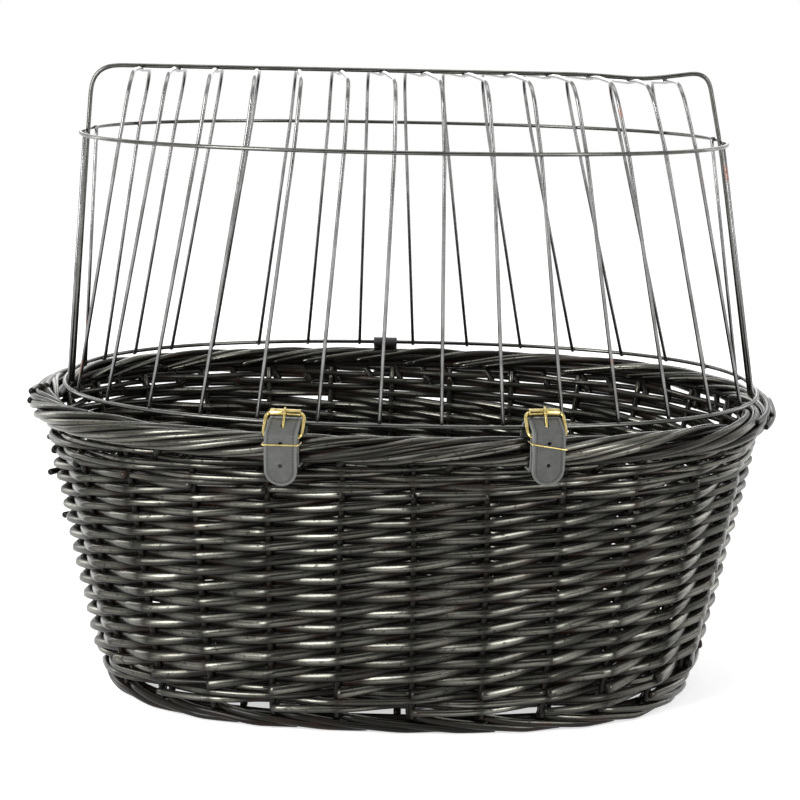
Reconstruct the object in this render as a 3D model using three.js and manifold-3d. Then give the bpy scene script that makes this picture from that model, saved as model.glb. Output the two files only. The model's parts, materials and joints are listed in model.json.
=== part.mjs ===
// Dog bicycle basket: an oval willow basket with a hinged wire cage over it,
// held shut at the front by two leather straps with brass roller buckles.
// Millimetres, +Z up, +Y to the rear hinge, +X to the right seen from the front.
// The origin is the middle of the basket at the floor.

import * as THREE from 'three';
import { mergeVertices } from 'three/addons/utils/BufferGeometryUtils.js';
import Module from 'manifold-3d';

const wasm = await Module();
wasm.setup();

// Gap left between pieces that touch
const gap = 0.3;

// Border rolled along the top of the basket
const borderLength = 536;
const borderDepth = 380;
const borderRoundness = 2.33;
const borderAcross = 22;
const borderRise = 19;
const basketHeight = 207;

// Foot rolled along the bottom of the basket
const footLength = 428;
const footDepth = 336;
const footRoundness = 2.6;
const footAcross = 16;
const footHeight = 12.7;
const footBevel = 3;

// Woven wall between the foot and the border, with a band of waling at each end
const wallThickness = 12;
const wallUnderBorder = 10;
const wallPastFoot = 3.5;
const lowerWaleHeight = 15;
const upperWaleHeight = 22;
const waleSwell = 1.2;
const waleEase = 4;

// Weave of the wall: rods that pass in front of one stake and behind the next.
// The rows lie closer together upwards, and each rod climbs a whole row from stake to stake.
const stakeCount = 28;
const firstStake = 9.7;
const weaveRows = 26;
const weaveRowPitch = 6.05;
const weaveRowEase = 0.0285;
const weaveSway = 4.5;

// Woven base with its ribs, and the sticks under it
const baseThickness = 7;
const baseRibCount = 9;
const baseRibHeight = 2.6;
const baseRibSteps = 36;
const stickWidth = 5.2;
const crossStickCount = 7;
const crossStickPitch = 52;
const longStickCount = 3;
const longStickPitch = 44;

// Wires of the cage
const ringWire = 2.8;
const upperRingWire = 2.6;
const hoopWire = 2.3;
const spineWire = 3;

// Lower ring of the cage, which lies along the border
const lowerRingInsetLength = 19;
const lowerRingInsetDepth = 15;
const lowerRingRoundness = 2.33;
const lowerRingShift = 6;
const lowerRingLift = 5.6;
const legTail = 5.8;

// Upper ring of the cage, outside the hoops
const upperRingInsetLength = 20.6;
const upperRingInsetDepth = 9;
const upperRingRoundness = 2.25;
const upperRingShift = -2.3;
const upperRingLift = 182;

// Spine that runs lengthwise over the hoops, with a slight sag near its right end
const spineLift = 228.1;
const spineCornerLeft = 3.5;
const spineCornerRight = 10.8;
const spineBend = 19;
const spineSag = 2.6;
const spineSagAt = 165;
const spineSagWidth = 26;

// Hoops that run front to back under the spine
const hoopCount = 14;
const hoopBend = 22;
const hoopLeanIn = 2;
const hoopDropFront = 0.6;
const hoopDropRear = 3.4;
const hoopTopInset = 6.4;
const endLegSpreadLow = 40;
const endLegSpreadHigh = 30;
const endLegRise = 3;

// How the hoops fan out along each ring and along the top, in degrees counted from the middle hoop:
// an even step, a bow and a flare that grow towards the ends, and a skew of the whole row
const fans = {
  lowerFront: { step: 9.35, bow: -0.02, flare: 0.024, skew: 0 },
  lowerRear: { step: 9.9, bow: 0.055, flare: 0.008, skew: -4.6 },
  upperFront: { step: 8.04, bow: -0.025, flare: 0.021, skew: 2.7 },
  upperRear: { step: 7.66, bow: 0.058, flare: 0.035, skew: -3.7 },
  topFront: { step: 7.64, bow: -0.042, flare: 0.022, skew: 2.5 },
  topRear: { step: 7.36, bow: 0.057, flare: 0.035, skew: -4 },
};

// Strap leather
const strapWidth = 21.5;
const billetThickness = 2.2;
const chapeThickness = 1.6;
const punchWidth = 2.4;
const punchPitch = 14.5;
const punchCount = 2;

// Roller buckle
const frameWire = 2.4;
const frameWidth = 27.6;
const frameReach = 18.4;
const frameLean = 41.5;
const frameCorner = 2;
const rollerWidth = 20.4;
const rollerThickness = 5.2;
const prongWire = 1.8;
const prongEye = 4.8;
const prongWidth = 2.4;
const prongHook = 38;
const rollerOut = 3.2;
const rollerLift = 13.6;

// Wire keeper round both layers of the strap
const keeperWire = 1.1;
const keeperPlay = 0.8;

// Strap rivet
const rivetShank = 2.2;
const rivetHead = 4.4;
const rivetHeadThickness = 0.7;
const rivetLift = 5;

// Route of the strap leather round the border
const chapeTail = 9;
const strapWireSlack = 0.9;
const billetRootDrop = 0.5;
const billetRise = 17;
const chapeInnerEnd = 11;
const chapeBend = 5;
const billetHang = 31.5;
const billetTuck = 3.4;

// The two closures along the front: place, lift above the plain height, and the keeper's drop and tilt
const leftClosureX = -74.5;
const leftClosureLift = 0;
const leftKeeperDrop = 3.9;
const leftKeeperTilt = -1.5;
const rightClosureX = 91.8;
const rightClosureLift = 3;
const rightKeeperDrop = 5.4;
const rightKeeperTilt = 10;

// Leather loop that hinges the cage to the rear of the border
const hingeX = -14.6;
const hingeWidth = 18.5;
const hingeThickness = 1.6;
const hingeClearance = 0.5;
const hingeBend = 5;
const hingeRivetDrop = 3.5;
const hingeTailDrop = 8;
const hingeRootLength = 18;

// Fineness of the faceted curves
const ovalSteps = 72;
const ringSteps = 112;
const wireSides = 6;
const bendSteps = 5;

// Heights and outlines worked out from the sizes above
const borderMidHeight = basketHeight - borderRise / 2;
const borderBottom = basketHeight - borderRise;
const wallBottom = footHeight + gap;
const wallTop = borderBottom - gap;
const lowerRingLength = borderLength - 2 * lowerRingInsetLength;
const lowerRingDepth = borderDepth - 2 * lowerRingInsetDepth;
const upperRingLength = lowerRingLength - 2 * upperRingInsetLength;
const upperRingDepth = lowerRingDepth - 2 * upperRingInsetDepth;
const lowerRingHeight = basketHeight + lowerRingLift;
const upperRingHeight = basketHeight + upperRingLift;
const spineHeight = basketHeight + spineLift;

const borderLine = oval(borderLength - borderAcross, borderDepth - borderAcross, borderRoundness);
const footLine = oval(footLength, footDepth, footRoundness);
const wallTopLine = grown(oval(borderLength, borderDepth, borderRoundness), -wallUnderBorder);
const wallBottomLine = grown(footLine, wallPastFoot);
const lowerRingLine = oval(lowerRingLength, lowerRingDepth, lowerRingRoundness, lowerRingShift);
const upperRingLine = oval(upperRingLength, upperRingDepth, upperRingRoundness, upperRingShift);

const closures = [
  {
    side: 'left',
    x: leftClosureX,
    lift: leftClosureLift,
    keeperDrop: leftKeeperDrop,
    keeperTilt: leftKeeperTilt,
  },
  {
    side: 'right',
    x: rightClosureX,
    lift: rightClosureLift,
    keeperDrop: rightKeeperDrop,
    keeperTilt: rightKeeperTilt,
  },
];

const willow = finish(0x1c1814, 0.45, 0);
const steel = finish(0x3a3a3c, 0.35, 0.9);
const strapLeather = finish(0x4a4b4c, 0.55, 0);
const loopLeather = finish(0x1b1b1c, 0.6, 0);
const brass = finish(0xc8a24a, 0.25, 1);

// Materials and pieces

function finish(color, roughness, metalness) {
  return new THREE.MeshStandardMaterial({ color, roughness, metalness });
}

function piece(parent, name, geometry, material) {
  const mesh = new THREE.Mesh(geometry, material);
  mesh.name = name;
  parent.add(mesh);
  return mesh;
}

// Ovals: superellipses with a length along X, a depth along Y and a roundness

function oval(length, depth, roundness, shift = 0) {
  return { halfLength: length / 2, halfDepth: depth / 2, roundness, shift };
}

function grown(line, by) {
  return { ...line, halfLength: line.halfLength + by, halfDepth: line.halfDepth + by };
}

function ovalPoint(line, angle) {
  const power = 2 / line.roundness;
  const along = Math.cos(angle);
  const across = Math.sin(angle);
  const x = line.halfLength * Math.sign(along) * Math.abs(along) ** power + line.shift;
  const y = line.halfDepth * Math.sign(across) * Math.abs(across) ** power;
  return new THREE.Vector2(x, y);
}

// Half depth of an oval at a place along its length
function ovalDepthAt(line, x) {
  const share = Math.min(Math.abs(x - line.shift) / line.halfLength, 1);
  return line.halfDepth * (1 - share ** line.roundness) ** (1 / line.roundness);
}

// Place along the length of an oval's right end at a distance from its long axis
function ovalReachAt(line, y) {
  const share = Math.min(Math.abs(y) / line.halfDepth, 1);
  return line.halfLength * (1 - share ** line.roundness) ** (1 / line.roundness);
}

class OvalCurve extends THREE.Curve {
  constructor(line) {
    super();
    this.line = line;
  }

  getPoint(t, target = new THREE.Vector3()) {
    const point = ovalPoint(this.line, t * 2 * Math.PI);
    return target.set(point.x, point.y, 0);
  }
}

// Closed skin through rows of points that follow one another round a section, anticlockwise.
// A row has as many points as the next, twice or half as many, or one.
function skin(rows, closed) {
  const starts = [];
  const positions = [];
  rows.forEach((row) => {
    starts.push(positions.length / 3);
    row.forEach((point) => positions.push(point.x, point.y, point.z));
  });
  const indices = [];
  const last = closed ? rows.length : rows.length - 1;
  for (let k = 0; k < last; k++) {
    const next = (k + 1) % rows.length;
    const here = rows[k].length;
    const there = rows[next].length;
    const steps = Math.max(here, there);
    for (let j = 0; j < steps; j++) {
      const onHere = (i) => starts[k] + (Math.floor((i * here) / steps) % here);
      const onThere = (i) => starts[next] + (Math.ceil((i * there) / steps) % there);
      if (onHere(j) !== onHere(j + 1)) {
        indices.push(onHere(j), onHere(j + 1), onThere(j + 1));
      }
      if (onThere(j) !== onThere(j + 1)) {
        indices.push(onHere(j), onThere(j + 1), onThere(j));
      }
    }
  }
  const geometry = new THREE.BufferGeometry();
  geometry.setAttribute('position', new THREE.Float32BufferAttribute(positions, 3));
  geometry.setIndex(indices);
  geometry.computeVertexNormals();
  return geometry;
}

function ovalRow(line, height, steps = ovalSteps) {
  return Array.from({ length: steps }, (_, j) => {
    const point = ovalPoint(line, (j / steps) * 2 * Math.PI);
    return new THREE.Vector3(point.x, point.y, height);
  });
}

// Closed wall that follows an oval, with a section of [outset, height] points, anticlockwise
function ovalShell(section, lineAt) {
  return skin(section.map(([outset, height]) => ovalRow(grown(lineAt(height), outset), height)), true);
}

function ovalRing(line, steps, across, sides, height) {
  const curve = new OvalCurve(line);
  curve.arcLengthDivisions = steps * 6;
  const geometry = new THREE.TubeGeometry(curve, steps, across / 2, sides, true);
  geometry.translate(0, 0, height);
  return geometry;
}

// Wires

class PointPath extends THREE.Curve {
  constructor(points) {
    super();
    this.points = points;
  }

  getPoint(t, target = new THREE.Vector3()) {
    const place = t * (this.points.length - 1);
    const i = Math.min(Math.floor(place), this.points.length - 2);
    return target.lerpVectors(this.points[i], this.points[i + 1], place - i);
  }

  getPointAt(t, target) {
    return this.getPoint(t, target);
  }

  getSpacedPoints(steps) {
    return this.getPoints(steps);
  }

  getTangentAt(t, target = new THREE.Vector3()) {
    const last = this.points.length - 1;
    const i = Math.round(t * last);
    const here = this.points[i];
    const before = here.clone().sub(this.points[Math.max(i - 1, 0)]).normalize();
    const after = this.points[Math.min(i + 1, last)].clone().sub(here).normalize();
    return target.addVectors(before, after).normalize();
  }
}

function roundSection(width, sides) {
  const points = [];
  for (let j = 0; j < sides; j++) {
    const angle = (j / sides) * 2 * Math.PI;
    points.push(new THREE.Vector2((width / 2) * Math.cos(angle), (width / 2) * Math.sin(angle)));
  }
  return new THREE.Shape(points);
}

function wire(points, width, sides = wireSides) {
  const path = new PointPath(points);
  const settings = { steps: points.length - 1, extrudePath: path };
  return new THREE.ExtrudeGeometry(roundSection(width, sides), settings);
}

// Points of a bent wire: straight runs, with a corner rounded where it has a bend
function bentRun(corners) {
  const points = [];
  corners.forEach(({ at, bend }, i) => {
    if (!bend) {
      points.push(at);
      return;
    }
    const before = corners[i - 1].at;
    const after = corners[i + 1].at;
    const start = at.clone().lerp(before, bend / at.distanceTo(before));
    const end = at.clone().lerp(after, bend / at.distanceTo(after));
    points.push(...new THREE.QuadraticBezierCurve3(start, at, end).getPoints(bendSteps));
  });
  return points;
}

// Point on the line from high to low, carried on to a given height
function atHeight(high, low, height) {
  return high.clone().lerp(low, (high.z - height) / (high.z - low.z));
}

// Cutting and joining

function solidOf(geometry) {
  const plain = geometry.clone();
  plain.deleteAttribute('normal');
  plain.deleteAttribute('uv');
  const merged = mergeVertices(plain, 0.0001);
  const vertProperties = new Float32Array(merged.attributes.position.array);
  const triVerts = new Uint32Array(merged.index.array);
  return new wasm.Manifold(new wasm.Mesh({ numProp: 3, vertProperties, triVerts }));
}

function geometryOf(solid) {
  const mesh = solid.getMesh();
  const geometry = new THREE.BufferGeometry();
  geometry.setAttribute('position', new THREE.BufferAttribute(new Float32Array(mesh.vertProperties), 3));
  geometry.setIndex(new THREE.BufferAttribute(new Uint32Array(mesh.triVerts), 1));
  geometry.computeVertexNormals();
  return geometry;
}

function cut(geometry, tools) {
  let solid = solidOf(geometry);
  tools.forEach((tool) => {
    solid = solid.subtract(solidOf(tool));
  });
  return geometryOf(solid);
}

// The willow basket

function wallLineAt(height) {
  const share = (height - wallBottom) / (wallTop - wallBottom);
  return {
    halfLength: THREE.MathUtils.lerp(wallBottomLine.halfLength, wallTopLine.halfLength, share),
    halfDepth: THREE.MathUtils.lerp(wallBottomLine.halfDepth, wallTopLine.halfDepth, share),
    roundness: THREE.MathUtils.lerp(footRoundness, borderRoundness, share),
    shift: 0,
  };
}

// Angles of the stakes and of the places midway between them, evenly spaced along the wall
function weaveAngles() {
  const curve = new OvalCurve(wallLineAt((wallBottom + wallTop) / 2));
  curve.arcLengthDivisions = ovalSteps * 20;
  const front = 0.75 + firstStake / curve.getLength();
  const count = stakeCount * 2;
  return Array.from({ length: count }, (_, i) => curve.getUtoTmapping((front + i / count) % 1) * 2 * Math.PI);
}

// Woven wall: a sheet that sways out where a rod passes in front of a stake, and in where it passes behind
function wovenWall(bottom, top) {
  const angles = weaveAngles();
  const sides = [-weaveSway / 2, -wallThickness + weaveSway / 2];
  const [outer, inner] = sides.map((middle) => {
    const rows = [];
    for (let k = 0; k <= weaveRows; k++) {
      rows.push(angles.map((angle, i) => {
        const height = bottom + weaveRowPitch * k - weaveRowEase * k * k;
        const inFront = k % 2 === 0 ? 1 : -1;
        const sway = i % 2 === 0 ? (inFront * weaveSway) / 2 : 0;
        const atEdge = k === 0 ? bottom : top;
        const level = k === 0 || k === weaveRows ? atEdge : height;
        const point = ovalPoint(grown(wallLineAt(level), middle + sway), angle);
        return new THREE.Vector3(point.x, point.y, level);
      }));
    }
    return rows;
  });
  return skin([...outer, ...inner.reverse()], true);
}

function waleSection(bottom, top) {
  return [
    [-wallThickness, bottom],
    [0, bottom],
    [waleSwell, bottom + waleEase],
    [waleSwell, top - waleEase],
    [0, top],
    [-wallThickness, top],
  ];
}

function buildBasket(parent) {
  const footSection = [
    [-footAcross + footBevel, 0],
    [-footBevel, 0],
    [0, footBevel],
    [0, footHeight - footBevel],
    [-footBevel, footHeight],
    [-footAcross + footBevel, footHeight],
    [-footAcross, footHeight - footBevel],
    [-footAcross, footBevel],
  ];
  piece(parent, 'foot_border', ovalShell(footSection, () => footLine), willow);

  const lowerWaleTop = wallBottom + lowerWaleHeight;
  const upperWaleBottom = wallTop - upperWaleHeight;
  piece(parent, 'lower_wale', ovalShell(waleSection(wallBottom, lowerWaleTop), wallLineAt), willow);
  piece(parent, 'side_wall', wovenWall(lowerWaleTop + gap, upperWaleBottom - gap), willow);

  const upperWale = ovalShell(waleSection(upperWaleBottom, wallTop), wallLineAt);
  const slots = closures.map((closure) => strapSlot(closurePlace(closure), strapWidth, chapeThickness));
  slots.push(strapSlot(hingePlace(), hingeWidth, hingeThickness));
  piece(parent, 'upper_wale', cut(upperWale, slots), willow);

  const border = ovalRing(borderLine, ovalSteps, borderAcross, 12, 0);
  border.scale(1, 1, borderRise / borderAcross);
  border.translate(0, 0, borderMidHeight);
  piece(parent, 'rim_border', border, willow);

  buildBase(parent);
}

// Notch in the top of the wall, where a strap goes in under the border
function strapSlot(place, width, thickness) {
  const depth = strapSlotDepth(thickness);
  const notch = new THREE.BoxGeometry(width + 2 * gap, wallThickness * 3, depth * 2);
  notch.rotateZ(place.turn);
  notch.translate(place.x, place.y, wallTop);
  return notch;
}

function strapSlotDepth(thickness) {
  return thickness + gap;
}

// Height of the middle of a strap where it runs under the border
function underBorder(thickness) {
  return borderBottom - gap - thickness / 2;
}

// Woven base: a plate with an even row of oval ribs on its upper side, round its middle
function ribbedPlate(line, bottom) {
  const crest = bottom + baseThickness;
  const trough = crest - baseRibHeight;
  const pitch = line.halfDepth / (baseRibCount + 0.5);
  const rows = [[new THREE.Vector3(0, 0, bottom)], ovalRow(line, bottom), ovalRow(line, trough)];
  for (let i = 0; i < baseRibCount; i++) {
    rows.push(ovalRow(grown(line, -(i + 0.5) * pitch), crest, baseRibSteps));
    rows.push(ovalRow(grown(line, -(i + 1) * pitch), trough, baseRibSteps));
  }
  rows.push([new THREE.Vector3(0, 0, crest)]);
  return skin(rows, false);
}

function buildBase(parent) {
  const baseLine = grown(wallLineAt(wallBottom), -wallThickness - gap);
  piece(parent, 'base_panel', ribbedPlate(baseLine, wallBottom), willow);

  const insideFoot = grown(footLine, -footAcross - gap);
  const crossHeight = wallBottom - gap - stickWidth / 2;
  for (let i = 0; i < crossStickCount; i++) {
    const x = (i - (crossStickCount - 1) / 2) * crossStickPitch;
    const sideX = Math.abs(x) + stickWidth / 2;
    const reach = ovalDepthAt(insideFoot, sideX);
    const ends = [new THREE.Vector3(x, -reach, crossHeight), new THREE.Vector3(x, reach, crossHeight)];
    piece(parent, `base_stick_cross_${i + 1}`, wire(ends, stickWidth, 8), willow);
  }

  const longHeight = crossHeight - stickWidth - gap;
  for (let i = 0; i < longStickCount; i++) {
    const y = (i - (longStickCount - 1) / 2) * longStickPitch;
    const sideY = Math.abs(y) + stickWidth / 2;
    const reach = ovalReachAt(insideFoot, sideY);
    const ends = [new THREE.Vector3(-reach, y, longHeight), new THREE.Vector3(reach, y, longHeight)];
    piece(parent, `base_stick_long_${i + 1}`, wire(ends, stickWidth, 8), willow);
  }
}

// The wire cage

function legInset(ringWidth, legWidth) {
  return ringWidth / 2 + legWidth / 2 + gap;
}

// Place along X of one hoop of a fan
function fanX(fan, reach, shift, i) {
  const t = i - (hoopCount - 1) / 2;
  const degrees = fan.step * t + fan.bow * t ** 2 + fan.flare * t ** 3 + fan.skew;
  return shift + reach * Math.sin(THREE.MathUtils.degToRad(degrees));
}

// Height of the spine's middle at a place along it
function spineHeightAt(x) {
  return spineHeight - spineSag * Math.exp(-(((x - spineSagAt) / spineSagWidth) ** 2));
}

// Leg of one hoop on one side, from its corner at the top to its tail: rear is 1, front is -1
function hoopSide(i, side) {
  const rear = side > 0;
  const lower = grown(lowerRingLine, -legInset(ringWire, hoopWire));
  const upper = grown(upperRingLine, -legInset(upperRingWire, hoopWire));
  const lowerX = fanX(rear ? fans.lowerRear : fans.lowerFront, lowerRingLength / 2, lowerRingShift, i);
  const upperX = fanX(rear ? fans.upperRear : fans.upperFront, upperRingLength / 2, upperRingShift, i);
  const topReach = upperRingLength / 2 - hoopTopInset;
  const topX = fanX(rear ? fans.topRear : fans.topFront, topReach, upperRingShift, i);
  const low = new THREE.Vector3(lowerX, side * ovalDepthAt(lower, lowerX), lowerRingHeight);
  const high = new THREE.Vector3(upperX, side * ovalDepthAt(upper, upperX), upperRingHeight);
  const drop = rear ? hoopDropRear : hoopDropFront;
  const middle = spineHeightAt(topX) - legInset(spineWire, hoopWire);
  const corner = new THREE.Vector3(topX, high.y - side * hoopLeanIn, middle - drop);
  return { corner, high, tail: atHeight(high, low, lowerRingHeight - legTail) };
}

function hoopPoints(i) {
  const front = hoopSide(i, -1);
  const rear = hoopSide(i, 1);
  const share = front.corner.y / (front.corner.y - rear.corner.y);
  const middle = front.corner.clone().lerp(rear.corner, share);
  middle.z = spineHeightAt(middle.x) - legInset(spineWire, hoopWire);
  return bentRun([
    { at: front.tail },
    { at: front.high },
    { at: front.corner, bend: hoopBend },
    { at: middle },
    { at: rear.corner, bend: hoopBend },
    { at: rear.high },
    { at: rear.tail },
  ]);
}

function spinePoints() {
  const low = grown(lowerRingLine, -legInset(ringWire, spineWire));
  const high = grown(upperRingLine, -legInset(upperRingWire, spineWire));
  const leg = (side, inset) => {
    const foot = new THREE.Vector3(low.shift + side * low.halfLength, 0, lowerRingHeight);
    const shoulder = new THREE.Vector3(high.shift + side * high.halfLength, 0, upperRingHeight);
    const corner = new THREE.Vector3(shoulder.x - side * inset, 0, spineHeight);
    return { tail: atHeight(shoulder, foot, lowerRingHeight - legTail), shoulder, corner };
  };
  const left = leg(-1, spineCornerLeft);
  const right = leg(1, spineCornerRight);
  const sag = [-1.6, -0.8, 0, 0.6, 1.2].map((step) => {
    const x = spineSagAt + step * spineSagWidth;
    return { at: new THREE.Vector3(x, 0, spineHeightAt(x)) };
  });
  return bentRun([
    { at: left.tail },
    { at: left.shoulder },
    { at: left.corner, bend: spineBend },
    ...sag.slice(0, 4),
    { at: right.corner, bend: spineBend * 0.6 },
    { at: right.shoulder },
    { at: right.tail },
  ]);
}

// Short leg beside the spine at one end: end is 1 at the right, side is 1 at the rear
function endLegPoints(end, side) {
  const lower = grown(lowerRingLine, -legInset(ringWire, hoopWire));
  const upper = grown(upperRingLine, -legInset(upperRingWire, hoopWire));
  const lowX = lower.shift + end * ovalReachAt(lower, endLegSpreadLow);
  const highX = upper.shift + end * ovalReachAt(upper, endLegSpreadHigh);
  const low = new THREE.Vector3(lowX, side * endLegSpreadLow, lowerRingHeight);
  const high = new THREE.Vector3(highX, side * endLegSpreadHigh, upperRingHeight);
  return [atHeight(high, low, upperRingHeight + endLegRise), atHeight(high, low, lowerRingHeight - legTail)];
}

function buildCage(parent) {
  const lower = ovalRing(lowerRingLine, ringSteps, ringWire, wireSides, lowerRingHeight);
  const upper = ovalRing(upperRingLine, ringSteps, upperRingWire, wireSides, upperRingHeight);
  piece(parent, 'cage_lower_ring', lower, steel);
  piece(parent, 'cage_upper_ring', upper, steel);
  piece(parent, 'cage_spine', wire(spinePoints(), spineWire), steel);
  for (let i = 0; i < hoopCount; i++) {
    piece(parent, `cage_hoop_${i + 1}`, wire(hoopPoints(i), hoopWire), steel);
  }
  for (const end of [-1, 1]) {
    for (const side of [-1, 1]) {
      const name = `cage_end_leg_${end < 0 ? 'left' : 'right'}_${side < 0 ? 'front' : 'rear'}`;
      piece(parent, name, wire(endLegPoints(end, side), hoopWire), steel);
    }
  }
}

// The two closures. Each is drawn in a plane across the border, as (out, up):
// out is measured outwards from the middle of the border, up from the floor.

// Middle of the border at a closure, and the turn that faces it outwards
function closurePlace(closure) {
  const slope = borderLine.roundness - 1;
  const y = -ovalDepthAt(borderLine, closure.x);
  const along = (Math.abs(closure.x) / borderLine.halfLength) ** slope / borderLine.halfLength;
  const across = (Math.abs(y) / borderLine.halfDepth) ** slope / borderLine.halfDepth;
  return { x: closure.x, y, turn: Math.sign(closure.x) * Math.atan2(along, across) };
}

function hingePlace() {
  return { x: hingeX, y: ovalDepthAt(borderLine, hingeX), turn: 0 };
}

// Distance from the middle of the border out to the lower ring, at a closure
function ringOut(place) {
  const ringY = -ovalDepthAt(lowerRingLine, place.x);
  return (place.y - ringY) * Math.cos(place.turn);
}

// Strip of leather that follows a path in the (out, up) plane
function strip(path, divisions, thickness, width) {
  const apart = (point, i, all) => i === 0 || point.distanceTo(all[i - 1]) > 0.01;
  const line = path.getPoints(divisions).filter(apart);
  const last = line.length - 1;
  const sides = line.map((point, i) => {
    const before = point.clone().sub(line[Math.max(i - 1, 0)]).normalize();
    const after = line[Math.min(i + 1, last)].clone().sub(point).normalize();
    const heading = before.add(after).normalize();
    return new THREE.Vector2(-heading.y, heading.x).multiplyScalar(thickness / 2);
  });
  const oneSide = line.map((point, i) => point.clone().add(sides[i]));
  const otherSide = line.map((point, i) => point.clone().sub(sides[i])).reverse();
  const shape = new THREE.Shape([...oneSide, ...otherSide]);
  const geometry = new THREE.ExtrudeGeometry(shape, { depth: width, bevelEnabled: false });
  geometry.translate(0, 0, -width / 2);
  geometry.applyMatrix4(acrossBorder());
  return geometry;
}

// Turns a drawing in (out, up) to stand across the border, facing -Y
function acrossBorder() {
  const out = new THREE.Vector3(0, -1, 0);
  const up = new THREE.Vector3(0, 0, 1);
  return new THREE.Matrix4().makeBasis(out, up, out.clone().cross(up));
}

function at(side, out, up) {
  return new THREE.Vector3(side, -out, up);
}

// Bar along X round a point in (out, up)
function barAcross(point, width, length, sides) {
  const bar = new THREE.CylinderGeometry(width / 2, width / 2, length, sides);
  bar.rotateZ(Math.PI / 2);
  bar.translate(0, -point.x, point.y);
  return bar;
}

// Pin that runs outwards through a point in (out, up), turned from level by an angle
function pinThrough(point, width, length, angle, sides) {
  const pin = new THREE.CylinderGeometry(width / 2, width / 2, length, sides);
  pin.rotateX(angle);
  pin.translate(0, -point.x, point.y);
  return pin;
}

// Places in the (out, up) plane that the pieces of one closure share
function closureLayout(closure, place) {
  const lean = THREE.MathUtils.degToRad(frameLean);
  const roller = new THREE.Vector2(rollerOut, basketHeight + rollerLift + closure.lift);
  const downFrame = new THREE.Vector2(Math.sin(lean), -Math.cos(lean));
  const heel = roller.clone().addScaledVector(downFrame, frameReach);
  const foldRadius = frameWire / 2 + gap + chapeThickness / 2;
  const billetRadius = foldRadius + chapeThickness / 2 + gap + billetThickness / 2;
  const chapeInside = -borderAcross / 2 - rivetHeadThickness - 2 * gap - chapeThickness / 2;
  const billetInside = chapeInside - chapeThickness / 2 - gap - billetThickness / 2;
  const slotHeight = underBorder(chapeThickness);
  const ringTop = lowerRingHeight + ringWire / 2;
  const overRing = new THREE.Vector2(ringOut(place), ringTop + strapWireSlack + billetThickness / 2);
  const keeper = new THREE.Vector2(heel.x, heel.y - closure.keeperDrop);
  const plies = chapeThickness + gap + billetThickness;
  const rivet = new THREE.Vector2(chapeInside + (chapeThickness - plies) / 2, borderBottom + rivetLift);
  return {
    roller,
    heel,
    foldRadius,
    billetRadius,
    chapeInside,
    billetInside,
    slotHeight,
    overRing,
    keeper,
    plies,
    rivet,
  };
}

// Chape: folded round the heel bar, down outside the border, in through the wall and up inside
function chapePath(layout) {
  const { heel, foldRadius, chapeInside, slotHeight } = layout;
  const path = new THREE.Path();
  const under = borderAcross / 3;
  path.moveTo(heel.x + foldRadius, heel.y - chapeTail);
  path.lineTo(heel.x + foldRadius, heel.y);
  path.absarc(heel.x, heel.y, foldRadius, 0, Math.PI, false);
  path.lineTo(heel.x - foldRadius, borderMidHeight);
  path.bezierCurveTo(
    heel.x - foldRadius, borderMidHeight - borderRise / 2,
    heel.x - foldRadius - chapeBend / 2, slotHeight,
    under, slotHeight,
  );
  path.lineTo(-under, slotHeight);
  path.bezierCurveTo(
    chapeInside + chapeBend / 3, slotHeight,
    chapeInside, slotHeight + chapeBend / 4,
    chapeInside, slotHeight + chapeBend * 0.7,
  );
  path.lineTo(chapeInside, borderBottom + chapeInnerEnd);
  return path;
}

// Straight part of the prong, from the heel bar to where it meets the roller
function prongLine(layout) {
  const { heel, roller } = layout;
  const reach = rollerThickness / 2 + gap + prongWire / 2;
  const lift = Math.asin(reach / frameReach);
  const back = roller.clone().sub(heel).normalize();
  const heading = back.rotateAround(new THREE.Vector2(0, 0), -lift);
  const length = Math.sqrt(frameReach ** 2 - reach ** 2);
  return { heading, meets: heel.clone().addScaledVector(heading, length), reach };
}

// Billet: riveted inside, up and over the ring, under the roller, over the heel bar and down the front
function billetPath(layout) {
  const { roller, heel, billetRadius, billetInside, overRing } = layout;
  const path = new THREE.Path();
  const rise = borderBottom + billetRise;
  const rollerRoom = rollerThickness / 2 + 2 * gap + billetThickness / 2;
  const underRoller = new THREE.Vector2(roller.x, roller.y - rollerRoom);
  const foldStart = THREE.MathUtils.degToRad(75);
  const fold = new THREE.Vector2(billetRadius, 0).rotateAround(new THREE.Vector2(0, 0), foldStart).add(heel);
  const crest = (heel.x - roller.x) / 3;
  path.moveTo(billetInside, borderBottom + billetRootDrop);
  path.lineTo(billetInside, rise);
  path.bezierCurveTo(
    billetInside, rise + (overRing.y - rise) * 0.6,
    overRing.x - crest, overRing.y,
    overRing.x, overRing.y,
  );
  path.bezierCurveTo(
    overRing.x + crest / 2, overRing.y,
    underRoller.x - crest / 2, underRoller.y,
    underRoller.x, underRoller.y,
  );
  path.bezierCurveTo(
    underRoller.x + crest, underRoller.y,
    fold.x - crest * Math.sin(foldStart), fold.y + crest * Math.cos(foldStart),
    fold.x, fold.y,
  );
  path.absarc(heel.x, heel.y, billetRadius, foldStart, 0, true);
  path.lineTo(heel.x + billetRadius, heel.y - chapeTail);
  path.bezierCurveTo(
    heel.x + billetRadius, heel.y - chapeTail - (billetHang - chapeTail) / 3,
    heel.x + billetRadius - billetTuck * 0.6, heel.y - billetHang + (billetHang - chapeTail) / 3,
    heel.x + billetRadius - billetTuck, heel.y - billetHang,
  );
  return path;
}

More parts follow.
